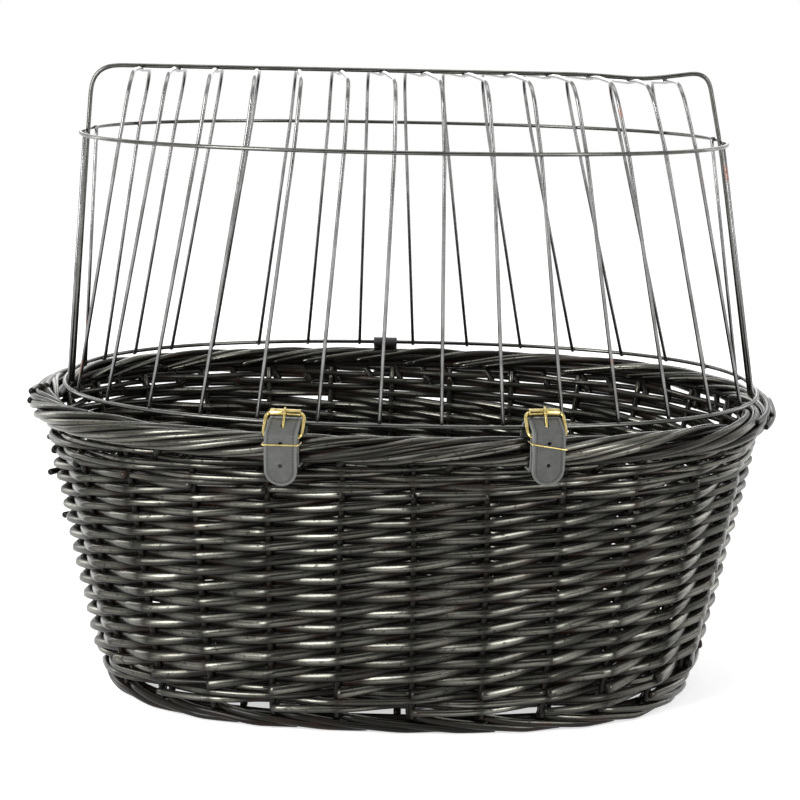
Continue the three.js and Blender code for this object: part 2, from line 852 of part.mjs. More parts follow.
// Outline of the billet seen from the front, with its round tip
function billetOutline(layout) {
  const half = strapWidth / 2;
  const tip = layout.heel.y - billetHang;
  const top = layout.roller.y + strapWidth;
  const shape = new THREE.Shape();
  shape.moveTo(half + gap, top);
  shape.lineTo(-half - gap, top);
  shape.lineTo(-half - gap, tip + half);
  shape.absarc(0, tip + half, half, Math.PI, 2 * Math.PI, false);
  shape.lineTo(half + gap, tip + half);
  const settings = { depth: borderAcross * 6, bevelEnabled: false, curveSegments: 12 };
  const geometry = new THREE.ExtrudeGeometry(shape, settings);
  geometry.translate(0, 0, -borderAcross * 3);
  geometry.rotateX(Math.PI / 2);
  return geometry;
}

// Punched holes below the prong's own, spaced along the leather
function punchPins(path, layout) {
  const { meets, heading } = prongLine(layout);
  const line = path.getSpacedPoints(400);
  const step = path.getLength() / 400;
  const offLine = (point) => Math.abs(heading.cross(point.clone().sub(meets)));
  const { roller, heel } = layout;
  const outer = line.map((point, i) => i).filter((i) => line[i].x > roller.x && line[i].y > heel.y);
  const prongIndex = outer.reduce((best, i) => (offLine(line[i]) < offLine(line[best]) ? i : best), outer[0]);
  const pins = [];
  for (let k = 1; k <= punchCount; k++) {
    const i = prongIndex + Math.round((k * punchPitch) / step);
    const slope = line[i + 1].clone().sub(line[i - 1]);
    pins.push(pinThrough(line[i], punchWidth, billetThickness * 3, Math.atan2(slope.x, -slope.y), 10));
  }
  return pins;
}

function prongPoints(layout) {
  const { roller, heel } = layout;
  const { heading, meets, reach } = prongLine(layout);
  const start = heel.clone().addScaledVector(heading, (frameWire + prongEye) / 4);
  const from = meets.clone().sub(roller).angle();
  const points = [at(0, start.x, start.y)];
  const hookSteps = 4;
  for (let k = 0; k <= hookSteps; k++) {
    const angle = from + (k / hookSteps) * THREE.MathUtils.degToRad(prongHook);
    points.push(at(0, roller.x + reach * Math.cos(angle), roller.y + reach * Math.sin(angle)));
  }
  return points;
}

// Closed four-cornered path with each corner rounded over a length of bend
function roundedLoop(corners, bend) {
  const path = new THREE.CurvePath();
  corners.forEach((corner, i) => {
    const before = corners[(i + 3) % 4];
    const after = corners[(i + 1) % 4];
    const start = corner.clone().lerp(before, bend / corner.distanceTo(before));
    const end = corner.clone().lerp(after, bend / corner.distanceTo(after));
    const nextStart = after.clone().lerp(corner, bend / corner.distanceTo(after));
    path.add(new THREE.QuadraticBezierCurve3(start, corner, end));
    path.add(new THREE.LineCurve3(end, nextStart));
  });
  return path;
}

function frameCurve(layout) {
  const { roller, heel } = layout;
  const half = (frameWidth - frameWire) / 2;
  const corners = [
    at(-half, roller.x, roller.y),
    at(half, roller.x, roller.y),
    at(half, heel.x, heel.y),
    at(-half, heel.x, heel.y),
  ];
  return roundedLoop(corners, frameCorner);
}

// Keeper: a flat loop of wire, tilted about the way the strap faces
function keeperGeometry(closure, layout) {
  const { heel, keeper, foldRadius, billetRadius } = layout;
  const wireRoom = gap + keeperWire / 2;
  const back = heel.x - foldRadius - chapeThickness / 2 - wireRoom;
  const front = heel.x + billetRadius + billetThickness / 2 + wireRoom;
  const half = strapWidth / 2 + keeperPlay + keeperWire / 2;
  const corners = [at(-half, front, 0), at(half, front, 0), at(half, back, 0), at(-half, back, 0)];
  const loop = roundedLoop(corners, keeperWire);
  const geometry = new THREE.TubeGeometry(loop, 40, keeperWire / 2, wireSides, true);
  geometry.rotateY(THREE.MathUtils.degToRad(closure.keeperTilt));
  geometry.translate(0, 0, keeper.y);
  return geometry;
}

function latheAcross(profile, sides) {
  const points = profile.map(([radius, height]) => new THREE.Vector2(radius, height));
  return new THREE.LatheGeometry([...points, points[0].clone()], sides);
}

function rollerGeometry(layout) {
  const bore = frameWire / 2 + gap;
  const outer = rollerThickness / 2;
  const half = rollerWidth / 2;
  const geometry = latheAcross([[bore, -half], [outer, -half], [outer, half], [bore, half]], 14);
  geometry.rotateZ(Math.PI / 2);
  geometry.translate(0, -layout.roller.x, layout.roller.y);
  return geometry;
}

function prongGeometry(layout) {
  const bore = frameWire / 2 + gap;
  const outer = prongEye / 2;
  const half = prongWidth / 2;
  const eye = latheAcross([[bore, -half], [outer, -half], [outer, half], [bore, half]], 14);
  eye.rotateZ(Math.PI / 2);
  eye.translate(0, -layout.heel.x, layout.heel.y);
  const shank = solidOf(wire(prongPoints(layout), prongWire, 8));
  const clear = solidOf(barAcross(layout.heel, 2 * bore, prongWidth * 2, 14));
  return geometryOf(shank.subtract(clear).add(solidOf(eye)));
}

function rivetGeometry(rivet, thickness) {
  const half = thickness / 2 + gap;
  const profile = [
    [0, -half - rivetHeadThickness],
    [rivetHead / 2, -half - rivetHeadThickness],
    [rivetHead / 2, -half],
    [rivetShank / 2, -half],
    [rivetShank / 2, half],
    [rivetHead / 2, half],
    [rivetHead / 2, half + rivetHeadThickness],
    [0, half + rivetHeadThickness],
  ];
  const geometry = new THREE.LatheGeometry(profile.map(([r, h]) => new THREE.Vector2(r, h)), 12);
  geometry.translate(0, -rivet.x, rivet.y);
  return geometry;
}

function buildClosure(parent, closure) {
  const place = closurePlace(closure);
  const layout = closureLayout(closure, place);
  const group = new THREE.Group();
  group.position.set(place.x, place.y, 0);
  group.rotation.z = place.turn;
  parent.add(group);

  const { heel, plies, rivet } = layout;
  const rivetHole = pinThrough(rivet, rivetShank + 2 * gap, plies * 3, 0, 12);

  const slotWidth = prongWidth + 3 * gap;
  const slotReach = layout.foldRadius + chapeThickness;
  const slot = new THREE.BoxGeometry(slotWidth, 2 * slotReach, slotReach + chapeTail * 0.55);
  slot.translate(0, -heel.x, heel.y + slotReach / 2 - (chapeTail * 0.55) / 2);
  const chape = strip(chapePath(layout), 12, chapeThickness, strapWidth);
  piece(group, `chape_${closure.side}`, cut(chape, [slot, rivetHole]), strapLeather);

  const path = billetPath(layout);
  const plain = solidOf(strip(path, 12, billetThickness, strapWidth));
  const tipped = geometryOf(plain.intersect(solidOf(billetOutline(layout))));
  const prongRoom = wire(prongPoints(layout), prongWire + 2 * gap + 0.1, 8);
  const holes = [prongRoom, rivetHole, ...punchPins(path, layout)];
  piece(group, `billet_${closure.side}`, cut(tipped, holes), strapLeather);

  piece(group, `strap_rivet_${closure.side}`, rivetGeometry(layout.rivet, plies), brass);
  const frame = new THREE.TubeGeometry(frameCurve(layout), 44, frameWire / 2, 8, true);
  piece(group, `buckle_frame_${closure.side}`, frame, brass);
  piece(group, `buckle_roller_${closure.side}`, rollerGeometry(layout), brass);
  piece(group, `buckle_prong_${closure.side}`, prongGeometry(layout), brass);
  piece(group, `strap_keeper_${closure.side}`, keeperGeometry(closure, layout), brass);
}

// The rear hinge: a leather loop round the lower ring, down behind the border and in through the wall

// Places in the (out, up) plane behind the border that the loop and its rivet share
function hingeLayout(place) {
  const ply = hingeThickness + gap;
  const inner = borderAcross / 2 + rivetHeadThickness + 2 * gap + hingeThickness / 2;
  const rivet = new THREE.Vector2(inner + ply / 2, borderMidHeight - hingeRivetDrop);
  const ring = new THREE.Vector2(ovalDepthAt(lowerRingLine, place.x) - place.y, lowerRingHeight);
  return { ply, inner, rivet, ring };
}

function hingePath({ ply, inner, ring }) {
  const loop = ringWire / 2 + hingeClearance + hingeThickness / 2;
  const slotHeight = underBorder(hingeThickness);
  const turn = borderBottom + hingeBend;
  const crown = borderMidHeight + borderRise * 0.42;
  const path = new THREE.Path();
  path.moveTo(inner - hingeRootLength, slotHeight);
  path.lineTo(inner - hingeBend * 1.6, slotHeight);
  path.bezierCurveTo(inner - hingeBend * 0.6, slotHeight, inner, slotHeight + hingeBend * 0.3, inner, turn);
  path.lineTo(inner, borderMidHeight);
  path.bezierCurveTo(inner, crown, ring.x + loop * 3.5, ring.y - loop, ring.x, ring.y - loop);
  path.absarc(ring.x, ring.y, loop, -Math.PI / 2, Math.PI / 2, true);
  path.bezierCurveTo(
    ring.x + loop * 3.7, ring.y + loop,
    inner + ply, crown + ply,
    inner + ply, borderMidHeight,
  );
  path.lineTo(inner + ply, borderMidHeight - hingeTailDrop);
  return path;
}

function buildHinge(parent) {
  const place = hingePlace();
  const layout = hingeLayout(place);
  const group = new THREE.Group();
  group.position.set(place.x, place.y, 0);
  group.rotation.z = Math.PI;
  parent.add(group);
  const plies = layout.ply + hingeThickness;
  const hole = pinThrough(layout.rivet, rivetShank + 2 * gap, plies * 2, 0, 12);
  const loop = strip(hingePath(layout), 12, hingeThickness, hingeWidth);
  piece(group, 'hinge_loop', cut(loop, [hole]), loopLeather);
  piece(group, 'hinge_rivet', rivetGeometry(layout.rivet, plies), brass);
}

const basket = new THREE.Group();
buildBasket(basket);
buildCage(basket);
closures.forEach((closure) => buildClosure(basket, closure));
buildHinge(basket);

export default basket;
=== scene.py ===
import json
import math

import bmesh
import bpy
import numpy as np
from mathutils import Matrix, Vector


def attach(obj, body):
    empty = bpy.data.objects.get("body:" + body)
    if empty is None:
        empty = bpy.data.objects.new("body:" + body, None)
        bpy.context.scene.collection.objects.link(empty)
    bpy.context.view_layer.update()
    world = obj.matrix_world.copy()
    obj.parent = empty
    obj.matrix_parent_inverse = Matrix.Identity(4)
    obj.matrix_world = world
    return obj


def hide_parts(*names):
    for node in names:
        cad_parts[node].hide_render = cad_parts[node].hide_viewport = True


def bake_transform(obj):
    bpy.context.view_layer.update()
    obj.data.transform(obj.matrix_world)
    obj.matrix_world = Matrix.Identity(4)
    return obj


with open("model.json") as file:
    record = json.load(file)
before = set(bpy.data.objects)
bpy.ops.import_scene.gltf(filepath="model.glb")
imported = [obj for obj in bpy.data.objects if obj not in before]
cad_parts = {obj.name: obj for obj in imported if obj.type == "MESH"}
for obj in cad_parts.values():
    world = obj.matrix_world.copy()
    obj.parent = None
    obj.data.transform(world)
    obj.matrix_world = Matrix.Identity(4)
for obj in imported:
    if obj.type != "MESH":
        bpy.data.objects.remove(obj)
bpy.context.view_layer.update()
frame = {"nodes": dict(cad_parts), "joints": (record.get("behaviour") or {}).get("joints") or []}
nodes = frame["nodes"]
joints = {joint["name"]: joint for joint in frame["joints"]}
rng = np.random.default_rng(7)
MM = 0.001
UP = np.array([0.0, 0.0, 1.0])


# Small helpers. All sizes in this file are millimetres until a mesh is made.

def unit(x):
    return np.clip(x, 0, 1)


def lengths(v):
    return np.linalg.norm(v, axis=-1)


def normed(v):
    return v / lengths(v)[..., None]


def distances(path):
    """How far along a path each of its points is."""
    return np.concatenate([[0], np.cumsum(lengths(np.diff(path, axis=0)))])


def linked(name, data):
    thing = bpy.data.objects.new(name, data)
    bpy.context.scene.collection.objects.link(thing)
    return thing


def dress(piece, node, body):
    """The CAD node that a piece stands for, which is hidden, and the body that it rides on."""
    if node:
        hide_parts(node)
    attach(piece, body)


# Meshes

def set_layer(mesh, name, values):
    """Values at each point of a mesh: numbers, or places in millimetres."""
    if values.ndim == 2:
        layer = mesh.attributes.new(name, "FLOAT_VECTOR", "POINT")
        layer.data.foreach_set("vector", (values * MM).astype(np.float32).ravel())
    else:
        layer = mesh.attributes.new(name, "FLOAT", "POINT")
        layer.data.foreach_set("value", values.astype(np.float32))


def band_quads(rows, sides, closed):
    """Quads between each ring of points and the next."""
    i = np.arange(rows if closed else rows - 1)[:, None]
    j = np.arange(sides)[None, :]
    here, there, beside = i * sides, (i + 1) % rows * sides, (j + 1) % sides
    return np.stack([here + j, here + beside, there + beside, there + j], 2).reshape(-1, 4)


def make_mesh(name, points, quads, ends, material, layers):
    sizes = np.array([4] * len(quads) + [len(end) for end in ends])
    loops = np.concatenate([quads.ravel(), *ends]).astype(np.int32)
    mesh = bpy.data.meshes.new(name)
    mesh.vertices.add(len(points))
    mesh.vertices.foreach_set("co", (points * MM).astype(np.float32).ravel())
    mesh.loops.add(len(loops))
    mesh.loops.foreach_set("vertex_index", loops)
    mesh.polygons.add(len(sizes))
    mesh.polygons.foreach_set("loop_start", (np.cumsum(sizes) - sizes).astype(np.int32))
    mesh.polygons.foreach_set("use_smooth", np.full(len(sizes), True))
    mesh.update(calc_edges=True)
    for key, values in layers.items():
        set_layer(mesh, key, values)
    mesh.materials.append(material)
    return linked(name, mesh)


class Rods:
    """Many round rods or wires that become one mesh."""

    DOME = 0.25         # how far a rod's rounded end stands out, in radii
    SHEEN_EDGE = 0.6      # how squarely a place must look the way of the painted sheen to be painted with it
    SHEEN_BLEND = 0.3

    def __init__(self):
        self.points, self.quads, self.ends = [], [], []
        self.layers = {"grain": [], "tint": [], "painted_sheen": []}
        self.count = 0

    def add(self, path, radius, sides=8, closed=False, tint=None, cut=0.55, face=None, painted_sheen=0.0, back=0.0,
            pressed=2.0, tilt=0.0):
        """An open rod narrows to cut at its ends.
        face is the way that the rod's painted sheen looks at each point, the argument after it how much
        painted sheen goes there, and back how much painted sheen its other side gets.
        A pressed rod, above 2, has flatter faces, the outer one turned up by tilt."""
        path = np.asarray(path, float)
        radius, painted_sheen, back = (np.broadcast_to(np.asarray(v, float), len(path)) for v in (radius, painted_sheen, back))
        ahead = normed(np.roll(path, -1, 0) - np.roll(path, 1, 0) if closed else np.gradient(path, axis=0))
        side = np.cross(ahead, UP)
        if (lengths(side) < 0.25).any():
            side = turned_along(ahead)
        side = normed(side)
        up = np.cross(side, ahead)
        along = distances(path)
        # By default the painted sheen faces out and a little up, where the side lamps' highlight falls on a
        # rod.
        face = 0.96 * side + 0.28 * UP if face is None else face
        if not closed:
            first, last = self.DOME * radius[0], self.DOME * radius[-1]
            path = np.vstack([path[0] - first * ahead[0], path, path[-1] + last * ahead[-1]])
            along = np.concatenate([[along[0] - first], along, [along[-1] + last]])
            radius = np.concatenate([[radius[0] * cut], radius, [radius[-1] * cut]])
            painted_sheen, back = np.pad(painted_sheen, 1), np.pad(back, 1)
            side, up, face = (np.pad(v, ((1, 1), (0, 0)), "edge") for v in (side, up, face))
        angle = np.arange(sides) / sides * 2 * math.pi
        cos, sin = np.cos(angle), np.sin(angle)
        around = cos[None, :, None] * side[:, None, :] + sin[None, :, None] * up[:, None, :]
        swell = np.abs(np.cos(angle - tilt)) ** pressed + np.abs(np.sin(angle - tilt)) ** pressed
        ring = path[:, None, :] + (radius[:, None] * swell ** (-1 / pressed))[:, :, None] * around
        # Painted sheen, standing in for the lamps' highlight: a band on the faced side and one on the other
        # side.
        sheen_paint = 0
        for way, share in ((face, painted_sheen), (face * [-1, -1, 1], back)):
            toward = np.einsum("nsk,nk->ns", around, way)
            sheen_paint = sheen_paint + unit((toward - self.SHEEN_EDGE) / self.SHEEN_BLEND) * share[:, None]
        grain = np.broadcast_arrays(along[:, None], radius[:, None] * cos, radius[:, None] * sin)
        grain = np.stack(grain, 2) + rng.uniform(0, 50, 3)
        tint = rng.random() if tint is None else tint
        self.layers["grain"].append(grain.reshape(-1, 3))
        self.layers["tint"].append(np.full(len(path) * sides, tint))
        self.layers["painted_sheen"].append(unit(sheen_paint).ravel())
        self.points.append(ring.reshape(-1, 3))
        self.quads.append(band_quads(len(path), sides, closed) + self.count)
        if not closed:
            self.ends.append(self.count + np.arange(sides)[::-1])
            self.ends.append(self.count + (len(path) - 1) * sides + np.arange(sides))
        self.count += len(path) * sides

    def build(self, name, material):
        layers = {key: np.concatenate(values) for key, values in self.layers.items()}
        return make_mesh(name, np.vstack(self.points), np.vstack(self.quads), self.ends, material, layers)


def turned_along(ahead):
    """Side directions that turn as little as they can along a path."""
    first = np.cross(ahead[0], [0.0, 1.0, 0.0])
    if lengths(first) < 0.3:
        first = np.cross(ahead[0], [1.0, 0.0, 0.0])
    out = [normed(first)]
    for direction in ahead[1:]:
        out.append(normed(out[-1] - direction * np.dot(out[-1], direction)))
    return np.array(out)


# Ovals of the basket: half length, half width and how square the oval is

WALL_LOW, WALL_LOW_OVAL = 13.0, (217.5, 171.5, 2.6)
WALL_HIGH, WALL_HIGH_OVAL = 187.7, (258.0, 180.0, 2.33)
BORDER_OVAL = (257.0, 179.0, 2.33)
FOOT_OVAL = (214.0, 168.0, 2.6)
STAKES = 28
FIRST_STAKE = 9.7       # right of the front's middle, along the wall


def power(x, n):
    return np.sign(x) * np.abs(x) ** n


def oval(t, a, b, n):
    return np.stack([a * power(np.cos(t), 2 / n), b * power(np.sin(t), 2 / n)], -1)


def outward(p, a, b, n):
    return normed(np.stack([power(p[..., 0] / a, n - 1) / a, power(p[..., 1] / b, n - 1) / b], -1))


def wall_oval(z):
    share = (np.asarray(z, float) - WALL_LOW) / (WALL_HIGH - WALL_LOW)
    return [low + (high - low) * share for low, high in zip(WALL_LOW_OVAL, WALL_HIGH_OVAL)]


ANGLES = np.linspace(-math.pi / 2, 1.5 * math.pi, 4001)
LENGTHS = distances(oval(ANGLES, *wall_oval(100.0)))


def angle_at(column):
    """The oval's own angle at a place counted in stakes, rightwards from the front."""
    length = FIRST_STAKE + np.asarray(column, float) * (LENGTHS[-1] / STAKES)
    return np.interp(length % LENGTHS[-1], LENGTHS, ANGLES)


def on_oval(column, size, out, z):
    """Points beside an oval: column in stakes, out measured from its line, z up."""
    p = oval(angle_at(column), *size)
    p = p + outward(p, *size) * np.asarray(out, float)[..., None]
    return np.concatenate([p, np.broadcast_to(np.asarray(z, float), p.shape[:-1])[..., None]], -1)


def on_wall(column, z, out):
    return on_oval(column, wall_oval(z), out, z)


def all_round(points_a_stake):
    return np.linspace(0, STAKES, STAKES * points_a_stake, endpoint=False)


# Materials

def new_material(name):
    material = bpy.data.materials.new(name)
    material.use_nodes = True
    tree = material.node_tree
    return material, tree, tree.nodes["Principled BSDF"]


def feed(tree, node, inputs):
    """Links each input that is given a socket, and sets the others."""
    for key, value in inputs.items():
        socket = node.inputs[key]
        if isinstance(value, bpy.types.NodeSocket):
            tree.links.new(value, socket)
        else:
            socket.default_value = (*value, 1) if socket.type == "RGBA" else value


def add(tree, kind, inputs=None, **settings):
    node = tree.nodes.new(kind)
    for key, value in settings.items():
        setattr(node, key, value)
    feed(tree, node, inputs or {})
    return node


def attribute(tree, name, output):
    return add(tree, "ShaderNodeAttribute", attribute_name=name).outputs[output]


def ramp(tree, source, *stops):
    """Grey that follows source through stops of (place, value)."""
    node = add(tree, "ShaderNodeValToRGB", {"Fac": source})
    elements = node.color_ramp.elements
    while len(elements) < len(stops):
        elements.new(0.5)
    for element, (place, value) in zip(elements, stops):
        element.position = place
        element.color = (value, value, value, 1)
    return node.outputs["Color"]


def noise(tree, vector, scale, detail, stretch=(1, 1, 1)):
    mapped = add(tree, "ShaderNodeMapping", {"Vector": vector, "Scale": stretch}).outputs["Vector"]
    inputs = {"Vector": mapped, "Scale": scale, "Detail": detail, "Roughness": 0.55}
    return add(tree, "ShaderNodeTexNoise", inputs).outputs["Fac"]


def mix(tree, factor, a, b, blend="MIX"):
    node = add(tree, "ShaderNodeMix", data_type="RGBA", blend_type=blend)
    feed(tree, node, {0: factor, 6: a, 7: b})
    return node.outputs[2]


def times(tree, a, b):
    return mix(tree, 1.0, a, b, "MULTIPLY")


def highest(tree, a, b):
    return add(tree, "ShaderNodeMath", {0: a, 1: b}, operation="MAXIMUM").outputs[0]


def bump(tree, height, strength, distance):
    inputs = {"Height": height, "Strength": strength, "Distance": distance}
    return add(tree, "ShaderNodeBump", inputs).outputs[0]


def willow_material(name, dark, light, red, sheen_paint):
    """Black lacquered rods: streaked, reddish in places, and with a painted sheen where they stand out, a
    paler and metallic band that stands in for the lamps' highlight.
    """
    material, tree, shader = new_material(name)
    grain = attribute(tree, "grain", "Vector")
    streaks = noise(tree, grain, 900, 5, (0.035, 1, 1))
    patches = noise(tree, grain, 60, 3, (0.6, 1, 1))
    specks = noise(tree, grain, 420, 3, (0.6, 1, 1))
    base = mix(tree, ramp(tree, streaks, (0.35, 0), (0.7, 1)), dark, light)
    base = mix(tree, ramp(tree, patches, (0.52, 0), (0.7, 1)), base, red)
    # The painted sheen, broken up by the streaks and specks, turns the colour to the sheen's colour and makes
    # it metallic.
    lightened = times(tree, ramp(tree, streaks, (0.25, 0.25), (0.6, 1)), attribute(tree, "painted_sheen", "Fac"))
    lightened = times(tree, lightened, ramp(tree, specks, (0.3, 0.2), (0.42, 1)))
    base = mix(tree, lightened, base, sheen_paint)
    base = times(tree, base, ramp(tree, attribute(tree, "tint", "Fac"), (0, 0.6), (1, 1.35)))
    feed(tree, shader, {
        "Base Color": base,
        "Metallic": ramp(tree, lightened, (0, 0), (0.3, 1)),
        "Roughness": ramp(tree, streaks, (0.3, 0.2), (0.75, 0.32)),
        "Specular IOR Level": 0.14,
        "Normal": bump(tree, mix(tree, 0.35, streaks, specks), 0.35, 0.0003),
    })
    return material


def metal_material(name, color, darker, roughness, scale, uneven=0.35, spots=None):
    """uneven is how far its roughness varies, and spots the colour of its few rusty places."""
    material, tree, shader = new_material(name)
    place = add(tree, "ShaderNodeTexCoord").outputs["Object"]
    fine = noise(tree, place, scale * 14, 3)
    base = mix(tree, ramp(tree, noise(tree, place, scale, 6), (0.38, 0), (0.7, 1)), color, darker)
    if spots:
        base = mix(tree, ramp(tree, noise(tree, place, 48, 1), (0.73, 0), (0.77, 1)), base, spots)
    feed(tree, shader, {
        "Base Color": base,
        "Metallic": 1.0,
        "Roughness": ramp(tree, fine, (0.25, roughness * (1 - uneven)), (0.8, roughness * (1 + uneven))),
        "Normal": bump(tree, fine, 0.35 * uneven, 0.0001),
    })
    return material


def leather_material(name, color, dark, light, roughness, half_width=None, scale=1500):
    """half_width is the strap's own, where its edge is creased; its flat place is in the grain."""
    material, tree, shader = new_material(name)
    place = attribute(tree, "grain", "Vector")
    pebble = add(tree, "ShaderNodeTexVoronoi", feature="SMOOTH_F1")
    feed(tree, pebble, {"Vector": place, "Scale": scale})
    pebble = pebble.outputs["Distance"]
    cloud = noise(tree, place, 140, 5)
    base = mix(tree, ramp(tree, cloud, (0.35, 0), (0.7, 1)), color, dark)
    base = mix(tree, ramp(tree, pebble, (0.3, 0), (0.75, 0.5)), base, light)
    height = mix(tree, 0.4, pebble, noise(tree, place, 3000, 2))
    if half_width:
        inset = inset_from_edge(tree, place, half_width)
        # A lighter band along the cut edge: partly the raw edge's own colour, partly a painted highlight
        # where the edge rounds over; then a dark creased line.
        lightened = ramp(tree, inset, (0.0, 1), (0.1, 0.25), (0.34, 0.5), (0.38, 0))
        base = mix(tree, lightened, base, tuple(min(c * 1.9, 1) for c in light))
        crease = ramp(tree, inset, (0.34, 1), (0.39, 0), (0.45, 0), (0.5, 1))
        base = mix(tree, crease, dark, base)
        height = mix(tree, 0.8, height, crease)
    feed(tree, shader, {
        "Base Color": base,
        "Roughness": ramp(tree, cloud, (0.3, roughness * 0.85), (0.75, roughness * 1.15)),
        "Specular IOR Level": 0.4,
        "Normal": bump(tree, height, 0.35, 0.0003),
    })
    return material


def inset_from_edge(tree, place, half_width):
    """How far in from the strap's cut edge a point is, in units of 4 mm."""
    split = add(tree, "ShaderNodeSeparateXYZ", {0: place}).outputs
    flat = add(tree, "ShaderNodeCombineXYZ", {"X": highest(tree, split["X"], 0.0), "Y": split["Y"]})
    length = add(tree, "ShaderNodeVectorMath", {0: flat.outputs[0]}, operation="LENGTH").outputs["Value"]
    edge = half_width * MM
    inputs = {"Value": length, "From Min": edge, "From Max": edge - 4 * MM}
    return add(tree, "ShaderNodeMapRange", inputs).outputs[0]


STRAP_WIDTH = 21.5
# The last colour of each willow is its painted sheen.
willow = willow_material("willow_dark", (0.007, 0.0067, 0.0054), (0.013, 0.0124, 0.0098),
                         (0.02, 0.0105, 0.0075), (0.165, 0.164, 0.142))
willow_inside = willow_material("willow_inside", (0.0095, 0.0091, 0.0072), (0.019, 0.018, 0.0148),
                                (0.025, 0.0145, 0.011), (0.2, 0.196, 0.17))
wire_metal = metal_material("wire_steel", (0.23, 0.23, 0.228), (0.11, 0.11, 0.107), 0.25, 60, 0.12,
                            spots=(0.22, 0.14, 0.12))
ring_metal = metal_material("ring_steel", (0.12, 0.12, 0.113), (0.065, 0.066, 0.058), 0.25, 60, 0.12,
                            spots=(0.22, 0.12, 0.1))
weld_metal = metal_material("weld_steel", (0.06, 0.058, 0.056), (0.05, 0.042, 0.038), 0.36, 420)
brass_metal = metal_material("buckle_brass", (0.55, 0.45, 0.2), (0.34, 0.26, 0.08), 0.22, 260, 0.2)
strap_leather = leather_material("strap_leather", (0.07, 0.0725, 0.068), (0.045, 0.047, 0.044),
                                 (0.1, 0.103, 0.097), 0.5, half_width=STRAP_WIDTH / 2)
loop_leather = leather_material("loop_leather", (0.012, 0.012, 0.012), (0.006, 0.006, 0.006),
                                (0.02, 0.02, 0.02), 0.5)
thread = leather_material("thread", (0.006, 0.006, 0.0065), (0.006, 0.006, 0.006), (0.02, 0.02, 0.02), 0.7,
                          scale=4000)


# The woven wall and its bands of waling

BORDER_ACROSS, BORDER_RISE, BORDER_MIDDLE, BORDER_BOTTOM = 22.0, 19.0, 197.5, 188.0
WALL_BOTTOM, WALL_ROWS = 29.0, 26
ROW_PITCH, ROW_EASE = 6.05, 0.0285
WALL_ROD, WALL_ROD_TAPER = 3.75, 0.038
WALL_ROD_PRESSED, WALL_ROD_TILT = 2.7, math.radians(12)
WALL_MIDDLE, STAKE_MIDDLE = -6.7, -6.8
REAR_STOUTER = 0.1
# Column and row of each rod end that sticks out, and how far it runs along and out
CUT_ENDS = [(20.4, 25.2), (21.2, 21.4), (20.7, 14.0), (6.7, 23.0),
            (7.3, 18.5), (11.3, 20.2), (15.6, 24.0), (13.4, 9.4)]
CUT_END_RUN, CUT_END_OUT, CUT_END_RADIUS = 0.42, 9.0, 2.3
# Name, node, rows, lowest row, row pitch, rod radius, swing and middle of each band
WALING = [("upper_waling", "upper_wale", 6, 167.5, 3.6, 2.15, 3.7, -6.2),
          ("lower_waling", "lower_wale", 3, 15.8, 4.7, 2.45, 3.9, -5.8)]
WALING_SPAN = (15, 23)


def ease(x):
    return x * x * (3 - 2 * x)


def zigzag(u):
    """Side to side once in two stakes, from 1 at u = 0 to -1 at u = 1, with tight bends."""
    wave = np.cos(math.pi * u)
    return 0.1 * wave + 0.9 * np.arcsin(0.988 * wave) / math.asin(0.988)


def waling(u):
    """Out over two stakes and in behind the third: 1 at u = 0 and 1, -1 at u = 2."""
    u = u % 3
    return np.where(u < 1, 1.0, np.where(u < 2, 1 - 2 * ease(u - 1), -1 + 2 * ease(u - 2)))


def wobble(count, size):
    """A slow irregular drift, one value for each place."""
    knots = rng.normal(0, size, count // 6 + 3)
    x = np.arange(count) / 6
    i = x.astype(int)
    f = ease(x - i)
    return knots[i] * (1 - f) + knots[i + 1] * f


def shade_at_stakes(place, loss, width):
    """1 away from the stakes, less by loss where a rod passes one: the painted sheen is cut there, for
    painted shade where the rod crosses a stake.
    """
    return 1 - loss * np.exp(-((place - np.round(place)) / width) ** 2)


def row_height(row):
    return WALL_BOTTOM + ROW_PITCH * row - ROW_EASE * row * row


